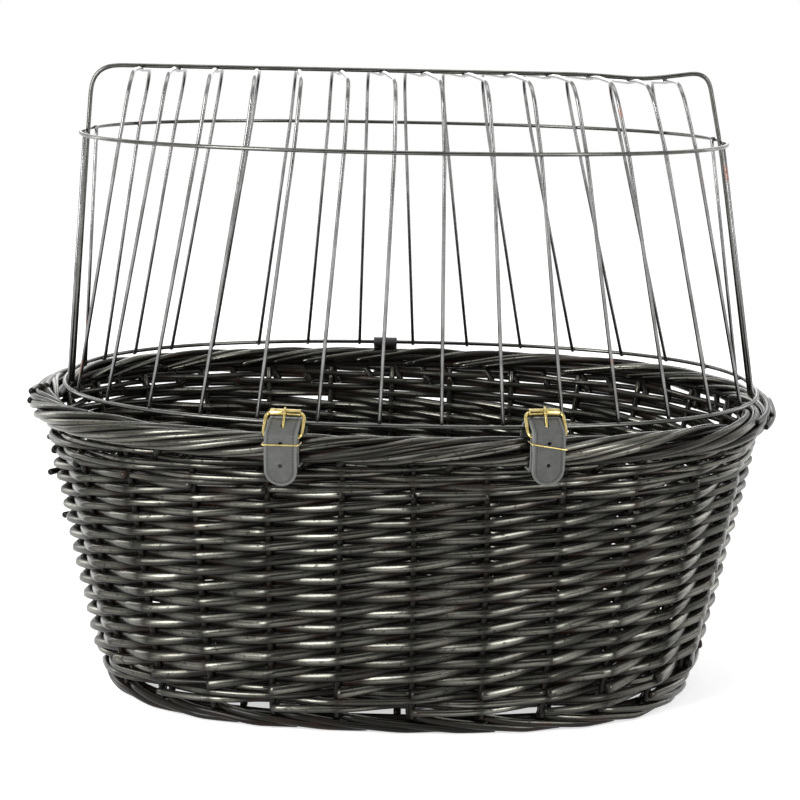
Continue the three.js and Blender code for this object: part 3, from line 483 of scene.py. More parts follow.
def build_wall():
    """One rod from each stake, thick end first, that climbs a row at every stake it passes."""
    rods = Rods()
    shares = np.array([0, 0.05, 0.11, 0.2, 0.34, 0.5, 0.66, 0.8, 0.89, 0.95])
    row = np.append((np.arange(WALL_ROWS)[:, None] + shares).ravel(), WALL_ROWS)
    for i in range(STAKES):
        z = row_height(row) + wobble(len(row), 0.3)
        depth = WALL_MIDDLE + rng.uniform(4.6, 5.1) * zigzag(row) + wobble(len(row), 0.3)
        bend = shade_at_stakes(row, 0.85, 0.055)
        # Painted sheen where the rod comes out in front of the stakes and, as back, on its other side where
        # it goes behind them; both are cut to painted shade where it crosses a stake.
        painted_sheen = unit(zigzag(row) / 0.5 + 0.6) * bend
        painted_sheen = painted_sheen * np.clip(rng.uniform(0.7, 0.95) + wobble(len(row), 0.22), 0.25, 1)
        stout = 1 + REAR_STOUTER * unit(-np.cos((i + row) / STAKES * 2 * math.pi))
        radius = (WALL_ROD - WALL_ROD_TAPER * row) * stout * rng.uniform(0.95, 1.05)
        back = unit(0.6 - zigzag(row) / 0.5) * bend * rng.uniform(0.6, 1.0)
        rods.add(on_wall(i + row, z, depth), radius, 12, painted_sheen=painted_sheen, back=back,
                 pressed=WALL_ROD_PRESSED, tilt=WALL_ROD_TILT)
    for column, row in CUT_ENDS:
        share = np.linspace(0, 1, 7)
        run = CUT_END_RUN * share
        path = on_wall(column + run, row_height(row + run), CUT_END_OUT * share - CUT_END_OUT / 2)
        rods.add(path, CUT_END_RADIUS, 10, cut=0.85)
    dress(rods.build("wall_weave", willow), "side_wall", "basket")
    stakes = Rods()
    for i in range(STAKES):
        z = np.linspace(11.5, 192, 20)
        column = i + wobble(20, 0.012)
        path = on_wall(column, z, STAKE_MIDDLE)
        facing = on_wall(column, z, STAKE_MIDDLE + 1) - path
        # Painted sheen only on each stake's inner side.
        stakes.add(path, np.linspace(2.6, 2.2, 20), 10, tint=0.3, face=facing, back=rng.uniform(0.5, 0.9))
    dress(stakes.build("wall_stakes", willow), None, "basket")


def build_waling(name, node, rows, lowest, pitch, radius, swing, middle):
    """Spirals of rods that climb half a row at each stake, each made of several tapered rods."""
    rods = Rods()
    for j in range(STAKES // 2):
        start = column = -2.0 * j
        last = start + 2 * rows
        while column < last - 1:
            end = min(column + rng.integers(*WALING_SPAN), last)
            if last - end < 4:
                end = last
            begin = column - 0.9 if column > start else column
            places = np.arange(int((end - begin) * 8) + 1) / 8 + begin
            wave = waling(places - j)
            z = lowest + pitch * (j + 0.5 * places) + wobble(len(places), 0.22)
            depth = middle + swing * wave + wobble(len(places), 0.25)
            share = (places - begin) / max(end - begin, 1)
            thick = radius * (1.08 - 0.14 * share) * rng.uniform(0.96, 1.06)
            depth = depth - 1.6 * unit(1 - np.minimum(places - begin, end - places) / 0.5)
            # Painted sheen where the rod stands out, and less on its other side, cut to painted shade at each
            # stake.
            stands_out = unit(wave / 0.6 + 0.4)
            bend = shade_at_stakes(places, 0.8, 0.06)
            painted_sheen = stands_out * bend * np.clip(rng.uniform(0.5, 0.95) + wobble(len(places), 0.25), 0.15, 1)
            back = (1 - stands_out) * bend * rng.uniform(0.2, 0.7)
            rods.add(on_wall(places, z, depth), thick, painted_sheen=painted_sheen, back=back)
            column = end
    dress(rods.build(name, willow), node, "basket")


# The rim border: pairs of rods that come up beside each stake, lie over to the right
# and turn from the outside over the top to the inside

RIM_WIDE, RIM_TALL = 8.3, 7.0
RIM_RODS = STAKES * 2
RIM_CORE, RIM_CORE_OUT = 2.6, 4.4
RIM_CORES = ((20, 3.4), (140, 3.2), (260, 3.4))     # turn and rise of each
# The border is slimmer, further in and higher at the basket's right end
RIGHT_END, END_SLIMMER, END_IN, END_RISE = 7.0, 0.24, 3.0, 1.5
# Column, and first and last turn, of the cut ends where the border starts and closes
RIM_ENDS, RIM_END_OUT = ((20.9, -95, 75), (7.2, -60, 60)), 8.4


def on_rim(column, turn, out, z):
    """Points beside the border's middle, and the way that they look from it."""
    path = on_oval(column, BORDER_OVAL, out, z)
    return path, on_oval(column, BORDER_OVAL, out + np.cos(turn), z + np.sin(turn)) - path


def build_rim():
    rods = Rods()
    steps = 44
    share = np.linspace(0, 1, steps)
    for i in range(RIM_RODS):
        first = i / 2 + rng.uniform(-0.1, 0.1)
        column = first + rng.uniform(3.7, 4.7) * share
        turn = np.radians(-105 + rng.uniform(285, 310) * share + rng.uniform(-8, 8))
        near_end = np.exp(-(((column - RIGHT_END + STAKES / 2) % STAKES - STAKES / 2) / 1.5) ** 2)
        slim = 1 - END_SLIMMER * near_end
        wide = RIM_WIDE * slim + rng.uniform(-0.7, 0.6) + wobble(steps, 0.35)
        tall = RIM_TALL * slim + rng.uniform(-0.6, 0.5) + wobble(steps, 0.35)
        out = wide * np.cos(turn) - END_IN * near_end
        z = BORDER_MIDDLE + tall * np.sin(turn) + END_RISE * near_end
        radius = np.interp(share, [0, 0.7, 1], [2.7, 2.3, 1.5]) * rng.uniform(0.85, 1.1)
        path, facing = on_rim(column, turn, out, z)
        root = on_wall(first - np.array([0.12, 0.06]), np.array([180.0, 186.0]), np.array([-7.5, -5.0]))
        # Uneven painted sheen on each border rod's outer side.
        painted_sheen = np.clip(rng.uniform(0.45, 1.1) + wobble(steps, 0.3), 0.1, 1)
        rods.add(np.vstack([root, path]), np.pad(radius, (2, 0), "edge"), 10,
                 face=np.pad(facing, ((2, 0), (0, 0)), "edge"), painted_sheen=np.pad(painted_sheen, (2, 0)))
    column = all_round(4)
    for turn, tall in RIM_CORES:
        twist = np.radians(turn + column * 360 * 2 / STAKES)
        out, z = RIM_CORE_OUT * np.cos(twist), BORDER_MIDDLE + tall * np.sin(twist)
        rods.add(on_oval(column, BORDER_OVAL, out, z), RIM_CORE, closed=True, tint=0.1)
    share = np.linspace(0, 1, 16)
    for end, low, high in RIM_ENDS:
        for turn in np.arange(low, high, 26):
            column = end + rng.uniform(-0.5, 0.5) - rng.uniform(1.2, 1.8) * (1 - share)
            angle = np.radians(turn + rng.uniform(-8, 8) + 30 * share)
            away = 1.2 + rng.uniform(0.8, 2.6) * share ** 2
            path, facing = on_rim(column, angle, (RIM_END_OUT + away) * np.cos(angle),
                                  BORDER_MIDDLE + (RIM_TALL + 0.7 * away) * np.sin(angle))
            # A little painted sheen on each cut end.
            rods.add(path, np.linspace(1.9, 2.5, 16), 10, cut=0.9, face=facing, painted_sheen=rng.uniform(0.1, 0.6))
    dress(rods.build("rim_border_rods", willow), "rim_border", "basket")


# The foot border: each stake bends out under the wall, runs down to the right and ends on the floor

FOOT_CORE, FOOT_CORES = 2.7, ((-10.5, 3.4), (-12.3, 8.3))       # radius, and out and height of each


def build_foot():
    rods = Rods()
    steps = 26
    share = np.linspace(0, 1, steps)
    for i in range(STAKES):
        first = i + rng.uniform(-0.04, 0.04)
        column = first + rng.uniform(2.25, 2.5) * share
        radius = np.interp(share, [0, 0.12, 0.8, 1], [2.7, 3.0, 2.5, 2.2]) * rng.uniform(0.92, 1.04)
        z = np.interp(share, [0, 0.1, 0.45, 0.75, 1], [11.2, 10.4, 6.4, 3.5, 2.9]) + wobble(steps, 0.25)
        out = np.interp(share, [0, 0.1, 0.3, 0.7, 1], [-8.0, -4.4, -3.0, -3.2, -6.8]) + wobble(steps, 0.25)
        root = on_wall(np.array([first, first]), np.array([22.0, 15.0]), np.array([-9.5, -9.0]))
        path = on_oval(column, FOOT_OVAL, out, np.maximum(z, radius))
        # Painted sheen on each foot rod.
        rods.add(np.vstack([root, path]), np.pad(radius, (2, 0), "edge"), 10, painted_sheen=rng.uniform(0.6, 1))
    for out, z in FOOT_CORES:
        rods.add(on_oval(all_round(4), FOOT_OVAL, out, z), FOOT_CORE, closed=True, tint=0.2)
    dress(rods.build("foot_border_rods", willow), "foot_border", "basket")


# The woven base, round the sticks

BASE_OVAL, BASE_MIDDLE = (204.0, 158.0, 2.6), 16.5
BASE_RINGS, BASE_FIRST_INSET, BASE_PITCH = 36, 2.4, 4.28
BASE_SWING = 1.25
BASE_ROD, BASE_SPOKE, BASE_HEART_ROD = 2.2, 1.5, 2.0
BASE_HEART, BASE_HEART_ROWS = 50.0, (-5.4, -1.8, 1.8, 5.4)


def build_base():
    rods = Rods()
    a, b, n = BASE_OVAL
    column = all_round(6)
    for k in range(BASE_RINGS):
        inset = BASE_FIRST_INSET + k * BASE_PITCH
        path = on_oval(column, (a - inset, b - inset, n - 0.5 * k / BASE_RINGS), 0.0, BASE_MIDDLE)
        path[:, 2] += BASE_SWING * np.cos(math.pi * (column + k))
        rods.add(path, BASE_ROD * rng.uniform(0.97, 1.04), closed=True)
    for i in range(STAKES):
        t = angle_at(float(i))
        outer, inner = oval(t, a - 1, b - 1, n), oval(t, a - 150, b - 150, 2.2)
        share = np.linspace(0, 1, 8)[:, None]
        path = np.concatenate([inner * (1 - share) + outer * share, np.full((8, 1), BASE_MIDDLE)], 1)
        rods.add(path, BASE_SPOKE, 6)
    for y in BASE_HEART_ROWS:
        x = np.linspace(-BASE_HEART, BASE_HEART, 16)
        rods.add(np.stack([x, y + wobble(16, 0.2), np.full(16, BASE_MIDDLE)], 1), BASE_HEART_ROD)
    dress(rods.build("base_weave", willow_inside), "base_panel", "basket")
    for name in sorted(n for n in nodes if n.startswith("base_stick")):
        stick = Rods()
        corners = np.array([v.co for v in nodes[name].data.vertices]) / MM
        low, high = corners.min(0), corners.max(0)
        way = int(np.argmax(high - low))
        path = np.repeat([(low + high) / 2], 14, 0)
        path[:, way] = np.linspace(low[way], high[way], 14)
        path[:, 1 - way] += wobble(14, 0.35)
        stick.add(path, np.linspace(1.0, 0.93, 14) * (high - low)[2] / 2, 12, cut=0.8)
        piece = stick.build(name.replace("base_", "base_willow_"), willow_inside)
        dress(piece, name, "basket")


# Wires of the cage, made round along the middle lines of the CAD wires

LEG_TRIM, END_LEG_TRIM = 4.9, 2.6
HOOP_SWELL, RING_SWELL = 1.12, 1.04
SPINE_CROWN, SPINE_CROWN_AT, SPINE_CROWN_WIDTH = 2.6, 210.0, 27
HOOP_FRONT_LIFT = 3.0
WELD_REACH = 1.2


def wire_line(name):
    """Middle line of a CAD wire, its half width, and whether it closes on itself."""
    mesh = nodes[name].data
    corners = np.array([v.co for v in mesh.vertices]) / MM
    places, same = np.unique(np.round(corners, 2), axis=0, return_inverse=True)
    same = np.asarray(same).ravel()
    near = lengths(places[:, None] - places[None]) < 2.0
    ring = -np.ones(len(places), int)
    count = 0
    for i in range(len(places)):
        if ring[i] < 0:
            members = near[i]
            while (near[members].any(0) != members).any():
                members = near[members].any(0)
            ring[members] = count
            count += 1
    middle = np.array([places[ring == k].mean(0) for k in range(count)])
    half = np.mean([lengths(places[ring == k] - middle[k]).mean() for k in range(count)])
    beside = [set() for _ in range(count)]
    for edge in mesh.edges:
        a, b = (ring[same[v]] for v in edge.vertices)
        if a != b:
            beside[a].add(b)
            beside[b].add(a)
    tips = [k for k in range(count) if len(beside[k]) == 1]
    order = [min(tips, key=lambda k: middle[k][1]) if tips else 0]
    while onward := [k for k in sorted(beside[order[-1]]) if k not in order]:
        order.append(onward[0])
    return middle[order], half, not tips


def round_corner(before, at, after, bend, count):
    """The curve that rounds a corner over a length of bend."""
    start, end = (at + normed(p - at) * bend for p in (before, after))
    u = np.linspace(0, 1, count)[:, None]
    return (1 - u) ** 2 * start + 2 * u * (1 - u) * at + u ** 2 * end


def smooth_line(points, closed):
    """Straight runs with every corner rounded between the middles of its shorter side."""
    out = [] if closed else [points[:1]]
    for i in range(0 if closed else 1, len(points) if closed else len(points) - 1):
        before, at, after = points[i - 1], points[i], points[(i + 1) % len(points)]
        out.append(round_corner(before, at, after, min(lengths(before - at), lengths(after - at)) / 2, 6))
    line = np.vstack(out if closed else [*out, points[-1:]])
    return line[np.concatenate([[True], lengths(np.diff(line, axis=0)) > 0.05])]


def rounded_loop(corners, bend):
    """Closed loop through corners, each rounded over a length of bend, with points on its straight sides."""
    corners = np.asarray(corners, float)
    curves = [round_corner(corners[i - 1], at, corners[(i + 1) % len(corners)], bend, 10)
              for i, at in enumerate(corners)]
    share = np.linspace(0, 1, 8)[1:-1, None]
    return np.vstack([part for curve, after in zip(curves, curves[1:] + curves[:1])
                      for part in (curve, curve[-1] + (after[0] - curve[-1]) * share)])


def trimmed(points, low, high):
    """The line with its ends cut back, low where it ends at the bottom and high where it ends at the top."""
    points = points.copy()
    middle = points[:, 2].mean()
    for end, beside in ((0, 1), (-1, -2)):
        way = normed(points[beside] - points[end])
        points[end] = points[end] + way * (low if points[end][2] < middle else high)
    return points


def hoop_to_spine(line, top):
    """Rounding its corners lowers a hoop, so its crown is lifted back to the spine.
    Its front corner is lifted a little more."""
    line = line.copy()
    line[:, 2] += (top - line[:, 2].max()) * unit((line[:, 2] - top + 40) / 40) ** 2
    line[:, 2] += HOOP_FRONT_LIFT * (unit(-line[:, 1] / 45) * unit((line[:, 2] - top + 34) / 24))
    return line


def build_cage():
    rails, others = {}, {}
    for name in nodes:
        if not name.startswith("cage_"):
            continue
        points, half, closed = wire_line(name)
        if not closed and name != "cage_spine":
            points = trimmed(points, LEG_TRIM, END_LEG_TRIM if "end_leg" in name else 0)
        line = smooth_line(points, closed)
        if "hoop" in name:
            line = hoop_to_spine(line, points[:, 2].max())
        if name == "cage_spine":
            crown = SPINE_CROWN * np.exp(-((line[:, 0] - SPINE_CROWN_AT) / SPINE_CROWN_WIDTH) ** 2)
            line[:, 2] += crown * unit((line[:, 2] - 400) / 30)
        rail = "ring" in name or "spine" in name
        half *= RING_SWELL if rail else HOOP_SWELL
        (rails if rail else others)[name] = (line, half)
        wires = Rods()
        wires.add(line, half, 14, closed=closed, cut=0.8)
        piece = wires.build(name.replace("cage_", "wire_"), ring_metal if rail else wire_metal)
        dress(piece, name, "cover")
    build_welds(rails, others)


def build_welds(rails, others):
    """A bead wherever a hoop or leg crosses a ring or the spine."""
    beads = Rods()
    for line, half in others.values():
        for rail, rail_half in rails.values():
            apart = lengths(line[:, None] - rail[None])
            halfway = len(line) // 2
            for start, block in ((0, apart[:halfway]), (halfway, apart[halfway:])):
                i, j = np.unravel_index(block.argmin(), block.shape)
                a, b = nearest_pair(line, rail, start + i, j)
                if lengths(a - b) <= half + rail_half + WELD_REACH:
                    size = 0.95 * half * rng.uniform(0.9, 1.2)
                    beads.add([a, (a + b) / 2, b], [size, size * 1.15, size], 10)
    dress(beads.build("weld_beads", weld_metal), None, "cover")


def nearest_pair(line, rail, i, j):
    """Closest points of two lines near places i and j, found between their points."""
    def fine(path, k):
        places = np.linspace(max(k - 1, 0), min(k + 1, len(path) - 1), 33)
        return np.stack([np.interp(places, np.arange(len(path)), path[:, c]) for c in range(3)], 1)
    a, b = fine(line, i), fine(rail, j)
    apart = lengths(a[:, None] - b[None])
    m, n = np.unravel_index(apart.argmin(), apart.shape)
    return a[m], b[n]


# Leather, drawn flat and then bent along a path in a plane across the border.
# Flat leather is (along, across, through); the plane is (out, up).

BILLET_THICKNESS, CHAPE_THICKNESS, LOOP_THICKNESS, LOOP_WIDTH = 2.2, 1.6, 1.6, 18.5
LEATHER_ROUNDING = 0.4
RIVET_HOLE = 2.8
GAP = 0.3


class Bend:
    """A path in the (out, up) plane, by its length, with the side that leather shows."""

    def __init__(self, parts, shown=1):
        points = np.vstack(parts)
        points = points[np.concatenate([[True], lengths(np.diff(points, axis=0)) > 1e-4])]
        reach = distances(points)
        self.length = reach[-1]
        self.places = np.linspace(0, self.length, int(self.length / 0.25))
        self.line = np.stack([np.interp(self.places, reach, points[:, c]) for c in range(2)], 1)
        heading = np.gradient(self.line, axis=0)
        heading = normed(np.stack([np.convolve(np.pad(heading[:, c], 2, "edge"), np.ones(5) / 5, "valid")
                                   for c in range(2)], 1))
        self.normal = np.stack([-heading[:, 1], heading[:, 0]], 1) * shown

    def at(self, along, through):
        return [np.interp(along, self.places, self.line[:, c])
                + through * np.interp(along, self.places, self.normal[:, c]) for c in range(2)]

    def nearest(self, point):
        return self.places[lengths(self.line - point).argmin()]

    def strip(self, width):
        """Flat outline of a plain strip as long as the path."""
        half = width / 2
        return np.array([[0, -half], [self.length, -half], [self.length, half], [0, half]])


def arc(middle, radius, start, end, count=24):
    turn = np.radians(np.linspace(start, end, count))
    return np.stack([middle[0] + radius * np.cos(turn), middle[1] + radius * np.sin(turn)], 1)


def bezier(a, b, c, d, count=32):
    u = np.linspace(0, 1, count)[:, None]
    a, b, c, d = (np.asarray(p, float) for p in (a, b, c, d))
    return a * (1 - u) ** 3 + 3 * b * u * (1 - u) ** 2 + 3 * c * u ** 2 * (1 - u) + d * u ** 3


def flat_leather(outline, holes, thickness, stations):
    """Closed mesh of a flat piece of leather with rounded edges, cut across at each station."""
    curve = bpy.data.curves.new("flat", "CURVE")
    curve.dimensions = "2D"
    curve.fill_mode = "BOTH"
    curve.bevel_depth = LEATHER_ROUNDING
    curve.bevel_resolution = 2
    curve.extrude = thickness / 2 - LEATHER_ROUNDING
    curve.offset = -LEATHER_ROUNDING
    for loop in [outline, *holes]:
        spline = curve.splines.new("POLY")
        spline.points.add(len(loop) - 1)
        corners = np.column_stack([loop, np.zeros(len(loop)), np.ones(len(loop))])
        spline.points.foreach_set("co", corners.ravel())
        spline.use_cyclic_u = True
    holder = linked("flat", curve)
    bpy.context.view_layer.update()
    mesh = bpy.data.meshes.new_from_object(holder.evaluated_get(bpy.context.evaluated_depsgraph_get()))
    bpy.data.objects.remove(holder)
    shape = bmesh.new()
    shape.from_mesh(mesh)
    bpy.data.meshes.remove(mesh)
    bmesh.ops.remove_doubles(shape, verts=shape.verts, dist=0.001)
    for place in stations:
        everything = shape.verts[:] + shape.edges[:] + shape.faces[:]
        bmesh.ops.bisect_plane(shape, geom=everything, dist=0.001, plane_co=(place, 0, 0), plane_no=(1, 0, 0))
    bmesh.ops.recalc_face_normals(shape, faces=shape.faces)
    return shape


def bent_leather(name, bend, outline, holes, thickness, place, material, tip=1e4, step=0.9):
    """A piece of leather bent along its path. tip is where its round end starts, along the path."""
    low, high = min(p[0] for p in outline), max(p[0] for p in outline)
    shape = flat_leather(outline, holes, thickness, np.arange(low + step, high, step))
    along, across, through = np.array([v.co for v in shape.verts]).T
    for vert, co in zip(shape.verts, place(across, *bend.at(along, through))):
        vert.co = co * MM
    mesh = bpy.data.meshes.new(name)
    shape.to_mesh(mesh)
    shape.free()
    set_layer(mesh, "grain", np.stack([along - tip, across, through], 1))
    for polygon in mesh.polygons:
        polygon.use_smooth = True
    mesh.materials.append(material)
    mark_sharp(mesh, 35)
    return linked(name, mesh)


def mark_sharp(mesh, degrees):
    """Sharp edges where two faces meet at more than an angle."""
    shape = bmesh.new()
    shape.from_mesh(mesh)
    for edge in shape.edges:
        if len(edge.link_faces) == 2 and edge.calc_face_angle(0) > math.radians(degrees):
            edge.smooth = False
    shape.to_mesh(mesh)
    shape.free()


def round_hole(along, width):
    turn = np.linspace(0, 2 * math.pi, 20, endpoint=False)
    return np.stack([along + width / 2 * np.cos(turn), width / 2 * np.sin(turn)], 1)


def tongue(start, end, width):
    """Outline of a strap from start to its round end."""
    half = width / 2
    turn = np.linspace(-math.pi / 2, math.pi / 2, 28)
    cap = np.stack([end - half + half * np.cos(turn), half * np.sin(turn)], 1)
    return np.vstack([[[start, -half]], cap, [[start, half]]])


# The two closures

BUCKLE_WIRE, BUCKLE_WIDTH, BUCKLE_CORNER = 2.4, 27.6, 4.6
ROLLER_LENGTH, ROLLER_WIDTH, ROLLER_SEAM = 20.4, 5.2, (62, 7, 0.5)
PRONG_WIRE, PRONG_EYE, PRONG_HOOK = 1.8, 4.8, 38
PRONG_EYE_OUT, PRONG_EYE_WIRE, PRONG_EYE_APART = 0.48, 0.5, 0.75
KEEPER_WIRE, KEEPER_CORNER, KEEPER_ROOM = 1.1, 1.7, 0.8
STITCH_INSET, STITCH_PITCH, STITCH_LENGTH, STITCH_RADIUS = 2.7, 2.05, 1.25, 0.24
HOLE_PITCH, HOLE_WIDTH = 14.5, 2.5
HANG, TAIL, TUCK = 31.5, 9.0, 3.4
RING_TOP = 214.0
CHAPE_INSIDE, BILLET_INSIDE = -13.1, -15.3
CHAPE_SLOT = HINGE_SLOT = 186.9
RIVET_UP = BORDER_BOTTOM + 5


class Closure:
    """One buckle, its strap and its keeper, placed from the CAD joints."""

    def __init__(self, side, heel_out, keeper_drop, keeper_tilt):
        self.side = side
        swing, spin = joints["buckle_swing_" + side], joints["roller_spin_" + side]
        heel, roller = np.array(swing["pos_m"]) / MM, np.array(spin["pos_m"]) / MM
        self.axis = normed(np.array(swing["axis"], float))
        self.outwards = np.array([self.axis[1], -self.axis[0], 0.0])
        self.origin = heel - self.outwards * heel_out
        self.origin[2] = 0
        self.heel = np.array([heel_out, heel[2]])
        self.roller = np.array([(roller - self.origin) @ self.outwards, roller[2]])
        self.keeper_drop = keeper_drop
        self.keeper_tilt = math.radians(keeper_tilt)
        ring = smooth_line(*wire_line("cage_lower_ring")[::2])
        beside = np.abs((ring - self.origin) @ self.axis) + 1e3 * (ring[:, 1] > 0)
        self.ring_out = (ring[beside.argmin()] - self.origin) @ self.outwards
        self.fold = BUCKLE_WIRE / 2 + GAP + CHAPE_THICKNESS / 2
        self.over_fold = self.fold + CHAPE_THICKNESS / 2 + GAP + BILLET_THICKNESS / 2

    def place(self, side, out, up):
        side, out, up = np.broadcast_arrays(np.asarray(side, float), out, up)
        return self.origin + side[..., None] * self.axis + out[..., None] * self.outwards + up[..., None] * UP

    def billet_bend(self):
        """From the rivet up inside, over the ring, under the roller, round the heel bar and down."""
        heel, roller = self.heel, self.roller
        inside, root, rise = BILLET_INSIDE, BORDER_BOTTOM + 0.5, BORDER_BOTTOM + 17
        over = np.array([self.ring_out, RING_TOP + 0.9 + BILLET_THICKNESS / 2])
        under = np.array([roller[0], roller[1] - ROLLER_WIDTH / 2 - 2 * GAP - BILLET_THICKNESS / 2])
        crest = (heel[0] - roller[0]) / 3
        cos, sin = math.cos(math.radians(75)), math.sin(math.radians(75))
        fold = heel + self.over_fold * np.array([cos, sin])
        front = heel[0] + self.over_fold
        third = (HANG - TAIL) / 3
        return Bend([
            [[inside, root], [inside, rise]],
            bezier((inside, rise), (inside, rise + (over[1] - rise) * 0.6), (over[0] - crest, over[1]), over),
            bezier(over, (over[0] + crest / 2, over[1]), (under[0] - crest / 2, under[1]), under),
            bezier(under, (under[0] + crest, under[1]), fold - crest * np.array([sin, -cos]), fold),
            arc(heel, self.over_fold, 75, 0),
            bezier((front, heel[1] - TAIL), (front, heel[1] - TAIL - third),
                   (front - TUCK * 0.6, heel[1] - HANG + third), (front - TUCK, heel[1] - HANG)),
        ])

    def chape_bend(self):
        """From the front up over the heel bar, down behind it, in under the border and up to the rivet."""
        heel, fold, slot, inside = self.heel, self.fold, CHAPE_SLOT, CHAPE_INSIDE
        under, behind = BORDER_ACROSS / 3, self.heel[0] - self.fold
        return Bend([
            [[heel[0] + fold, heel[1] - TAIL]],
            arc(heel, fold, 0, 180),
            bezier((behind, BORDER_MIDDLE), (behind, BORDER_BOTTOM), (behind - 2.5, slot), (under, slot)),
            bezier((-under, slot), (inside + 5 / 3, slot), (inside, slot + 1.25), (inside, slot + 3.5)),
            [[inside, BORDER_BOTTOM + 11]],
        ], -1)

    def prong_line(self):
        """Side view of the prong: up from the heel bar and over the roller."""
        reach = ROLLER_WIDTH / 2 + GAP + PRONG_WIRE / 2
        back = self.roller - self.heel
        span = lengths(back)
        lift = -math.asin(reach / span)
        turn = np.array([[math.cos(lift), -math.sin(lift)], [math.sin(lift), math.cos(lift)]])
        heading = turn @ (back / span)
        meets = self.heel + heading * math.sqrt(span ** 2 - reach ** 2)
        start = self.heel + heading * (BUCKLE_WIRE + PRONG_EYE) / 4
        off = meets - self.roller
        first = math.degrees(math.atan2(off[1], off[0]))
        hook = arc(self.roller, reach, first, first + PRONG_HOOK, 9)
        straight = start + (meets - start) * np.linspace(0, 1, 10)[:-1, None]
        return np.vstack([straight, hook]), heading, meets

    def build(self):
        self.build_billet()
        self.build_chape()
        self.build_frame()
        self.build_roller()
        self.build_prong()
        self.build_keeper()
        self.build_rivet()

    def build_billet(self):
        bend = self.billet_bend()
        line, heading, meets = self.prong_line()
        outer = (bend.line[:, 1] > self.heel[1]) & (bend.line[:, 0] > self.roller[0])
        off = bend.line - meets
        off_line = np.abs(heading[0] * off[:, 1] - heading[1] * off[:, 0]) + 1e3 * ~outer
        prong_hole = bend.places[off_line.argmin()]
        slot = round_hole(prong_hole, PRONG_WIRE + 1.0)
        slot[:, 0] = prong_hole + (slot[:, 0] - prong_hole) * 1.9
        holes = [round_hole(5.0, RIVET_HOLE), slot,
                 *(round_hole(prong_hole + k * HOLE_PITCH, HOLE_WIDTH) for k in (1, 2))]
        piece = bent_leather("strap_billet_" + self.side, bend, tongue(0, bend.length, STRAP_WIDTH), holes,
                             BILLET_THICKNESS, self.place, strap_leather, bend.length - STRAP_WIDTH / 2)
        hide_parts("billet_" + self.side)
        for part in (piece, self.stitches(bend)):
            self.place(0, BILLET_INSIDE, BORDER_BOTTOM + 4) * MM
            self.place(0, BILLET_INSIDE + 7.4, BORDER_BOTTOM + 9) * MM
            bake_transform(part)

    def stitches(self, bend):
        """Separate stitches along the billet's edge."""
        threads = Rods()
        line = tongue(1.5, bend.length - STITCH_INSET, STRAP_WIDTH - 2 * STITCH_INSET)
        reach = distances(line)
        depth = BILLET_THICKNESS / 2 + np.array([-0.3, -0.06, 0.04, 0.07, 0.04, -0.06, -0.3])
        for middle in np.arange(STITCH_PITCH / 2, reach[-1], STITCH_PITCH):
            spots = middle + np.linspace(-0.5, 0.5, 7) * STITCH_LENGTH * rng.uniform(0.9, 1.08)
            along, across = (np.interp(spots, reach, line[:, c]) for c in range(2))
            threads.add(self.place(across, *bend.at(along, depth)), STITCH_RADIUS, 6)
        return threads.build("strap_stitches_" + self.side, thread)

    def build_chape(self):
        bend = self.chape_bend()
        crown = bend.nearest(self.heel + np.array([0, self.fold]))
        slot = np.vstack([arc((crown - 7, 0), 1.65, 90, 270, 9), arc((crown + 7, 0), 1.65, -90, 90, 9)])
        rivet = round_hole(bend.nearest(np.array([CHAPE_INSIDE, RIVET_UP])), RIVET_HOLE)
        piece = bent_leather("strap_chape_" + self.side, bend, bend.strip(STRAP_WIDTH), [slot, rivet],
                             CHAPE_THICKNESS, self.place, strap_leather)
        dress(piece, "chape_" + self.side, "basket")

    def finish_brass(self, rods, name, node, body):
        piece = rods.build("brass_" + name + self.side, brass_metal)
        dress(piece, node + self.side, body + self.side)

    def build_frame(self):
        half = (BUCKLE_WIDTH - BUCKLE_WIRE) / 2
        corners = [(-half, *self.roller), (half, *self.roller), (half, *self.heel), (-half, *self.heel)]
        rods = Rods()
        rods.add(self.place(*rounded_loop(corners, BUCKLE_CORNER).T), BUCKLE_WIRE / 2, 16, closed=True)
        self.finish_brass(rods, "frame_", "buckle_frame_", "buckle_")

    def build_roller(self):
        """A rolled tube with rounded ends and an open seam, turned round the buckle's top bar."""
        half, outer, bore = ROLLER_LENGTH / 2, ROLLER_WIDTH / 2, BUCKLE_WIRE / 2 + GAP
        ends = [(half - 0.35, outer), (half - 0.12, outer - 0.1), (half, outer - 0.3), (half, bore)]
        profile = np.array([(-s, r) for s, r in reversed(ends)] + ends)
        degrees = np.arange(48) * 360 / 48
        at, width, depth = ROLLER_SEAM
        dent = unit(1 - np.abs((degrees - at + 180) % 360 - 180) / width)
        radius = profile[:, 1:] - depth * dent * (profile[:, 1:] > bore + 0.05)
        turn = np.radians(degrees)
        points = self.place(profile[:, :1], self.roller[0] + radius * np.cos(turn),
                            self.roller[1] + radius * np.sin(turn))
        piece = lathe_mesh("brass_roller_" + self.side, points, closed=True)
        dress(piece, "buckle_roller_" + self.side, "roller_" + self.side)

    def build_prong(self):
        line = self.prong_line()[0]
        rods = Rods()
        radius = np.interp(np.arange(len(line)), [0, 8, len(line) - 1], [1.0, 0.95, 0.75])
        rods.add(self.place(0, *line.T), radius, 12, cut=0.7)
        eye = arc(self.heel, BUCKLE_WIRE / 2 + GAP + PRONG_EYE_OUT, 0, 345, 24)
        for side in (0, PRONG_EYE_APART, -PRONG_EYE_APART):
            rods.add(self.place(side, *eye.T), PRONG_EYE_WIRE, 10, closed=True)
        self.finish_brass(rods, "prong_", "buckle_prong_", "prong_")

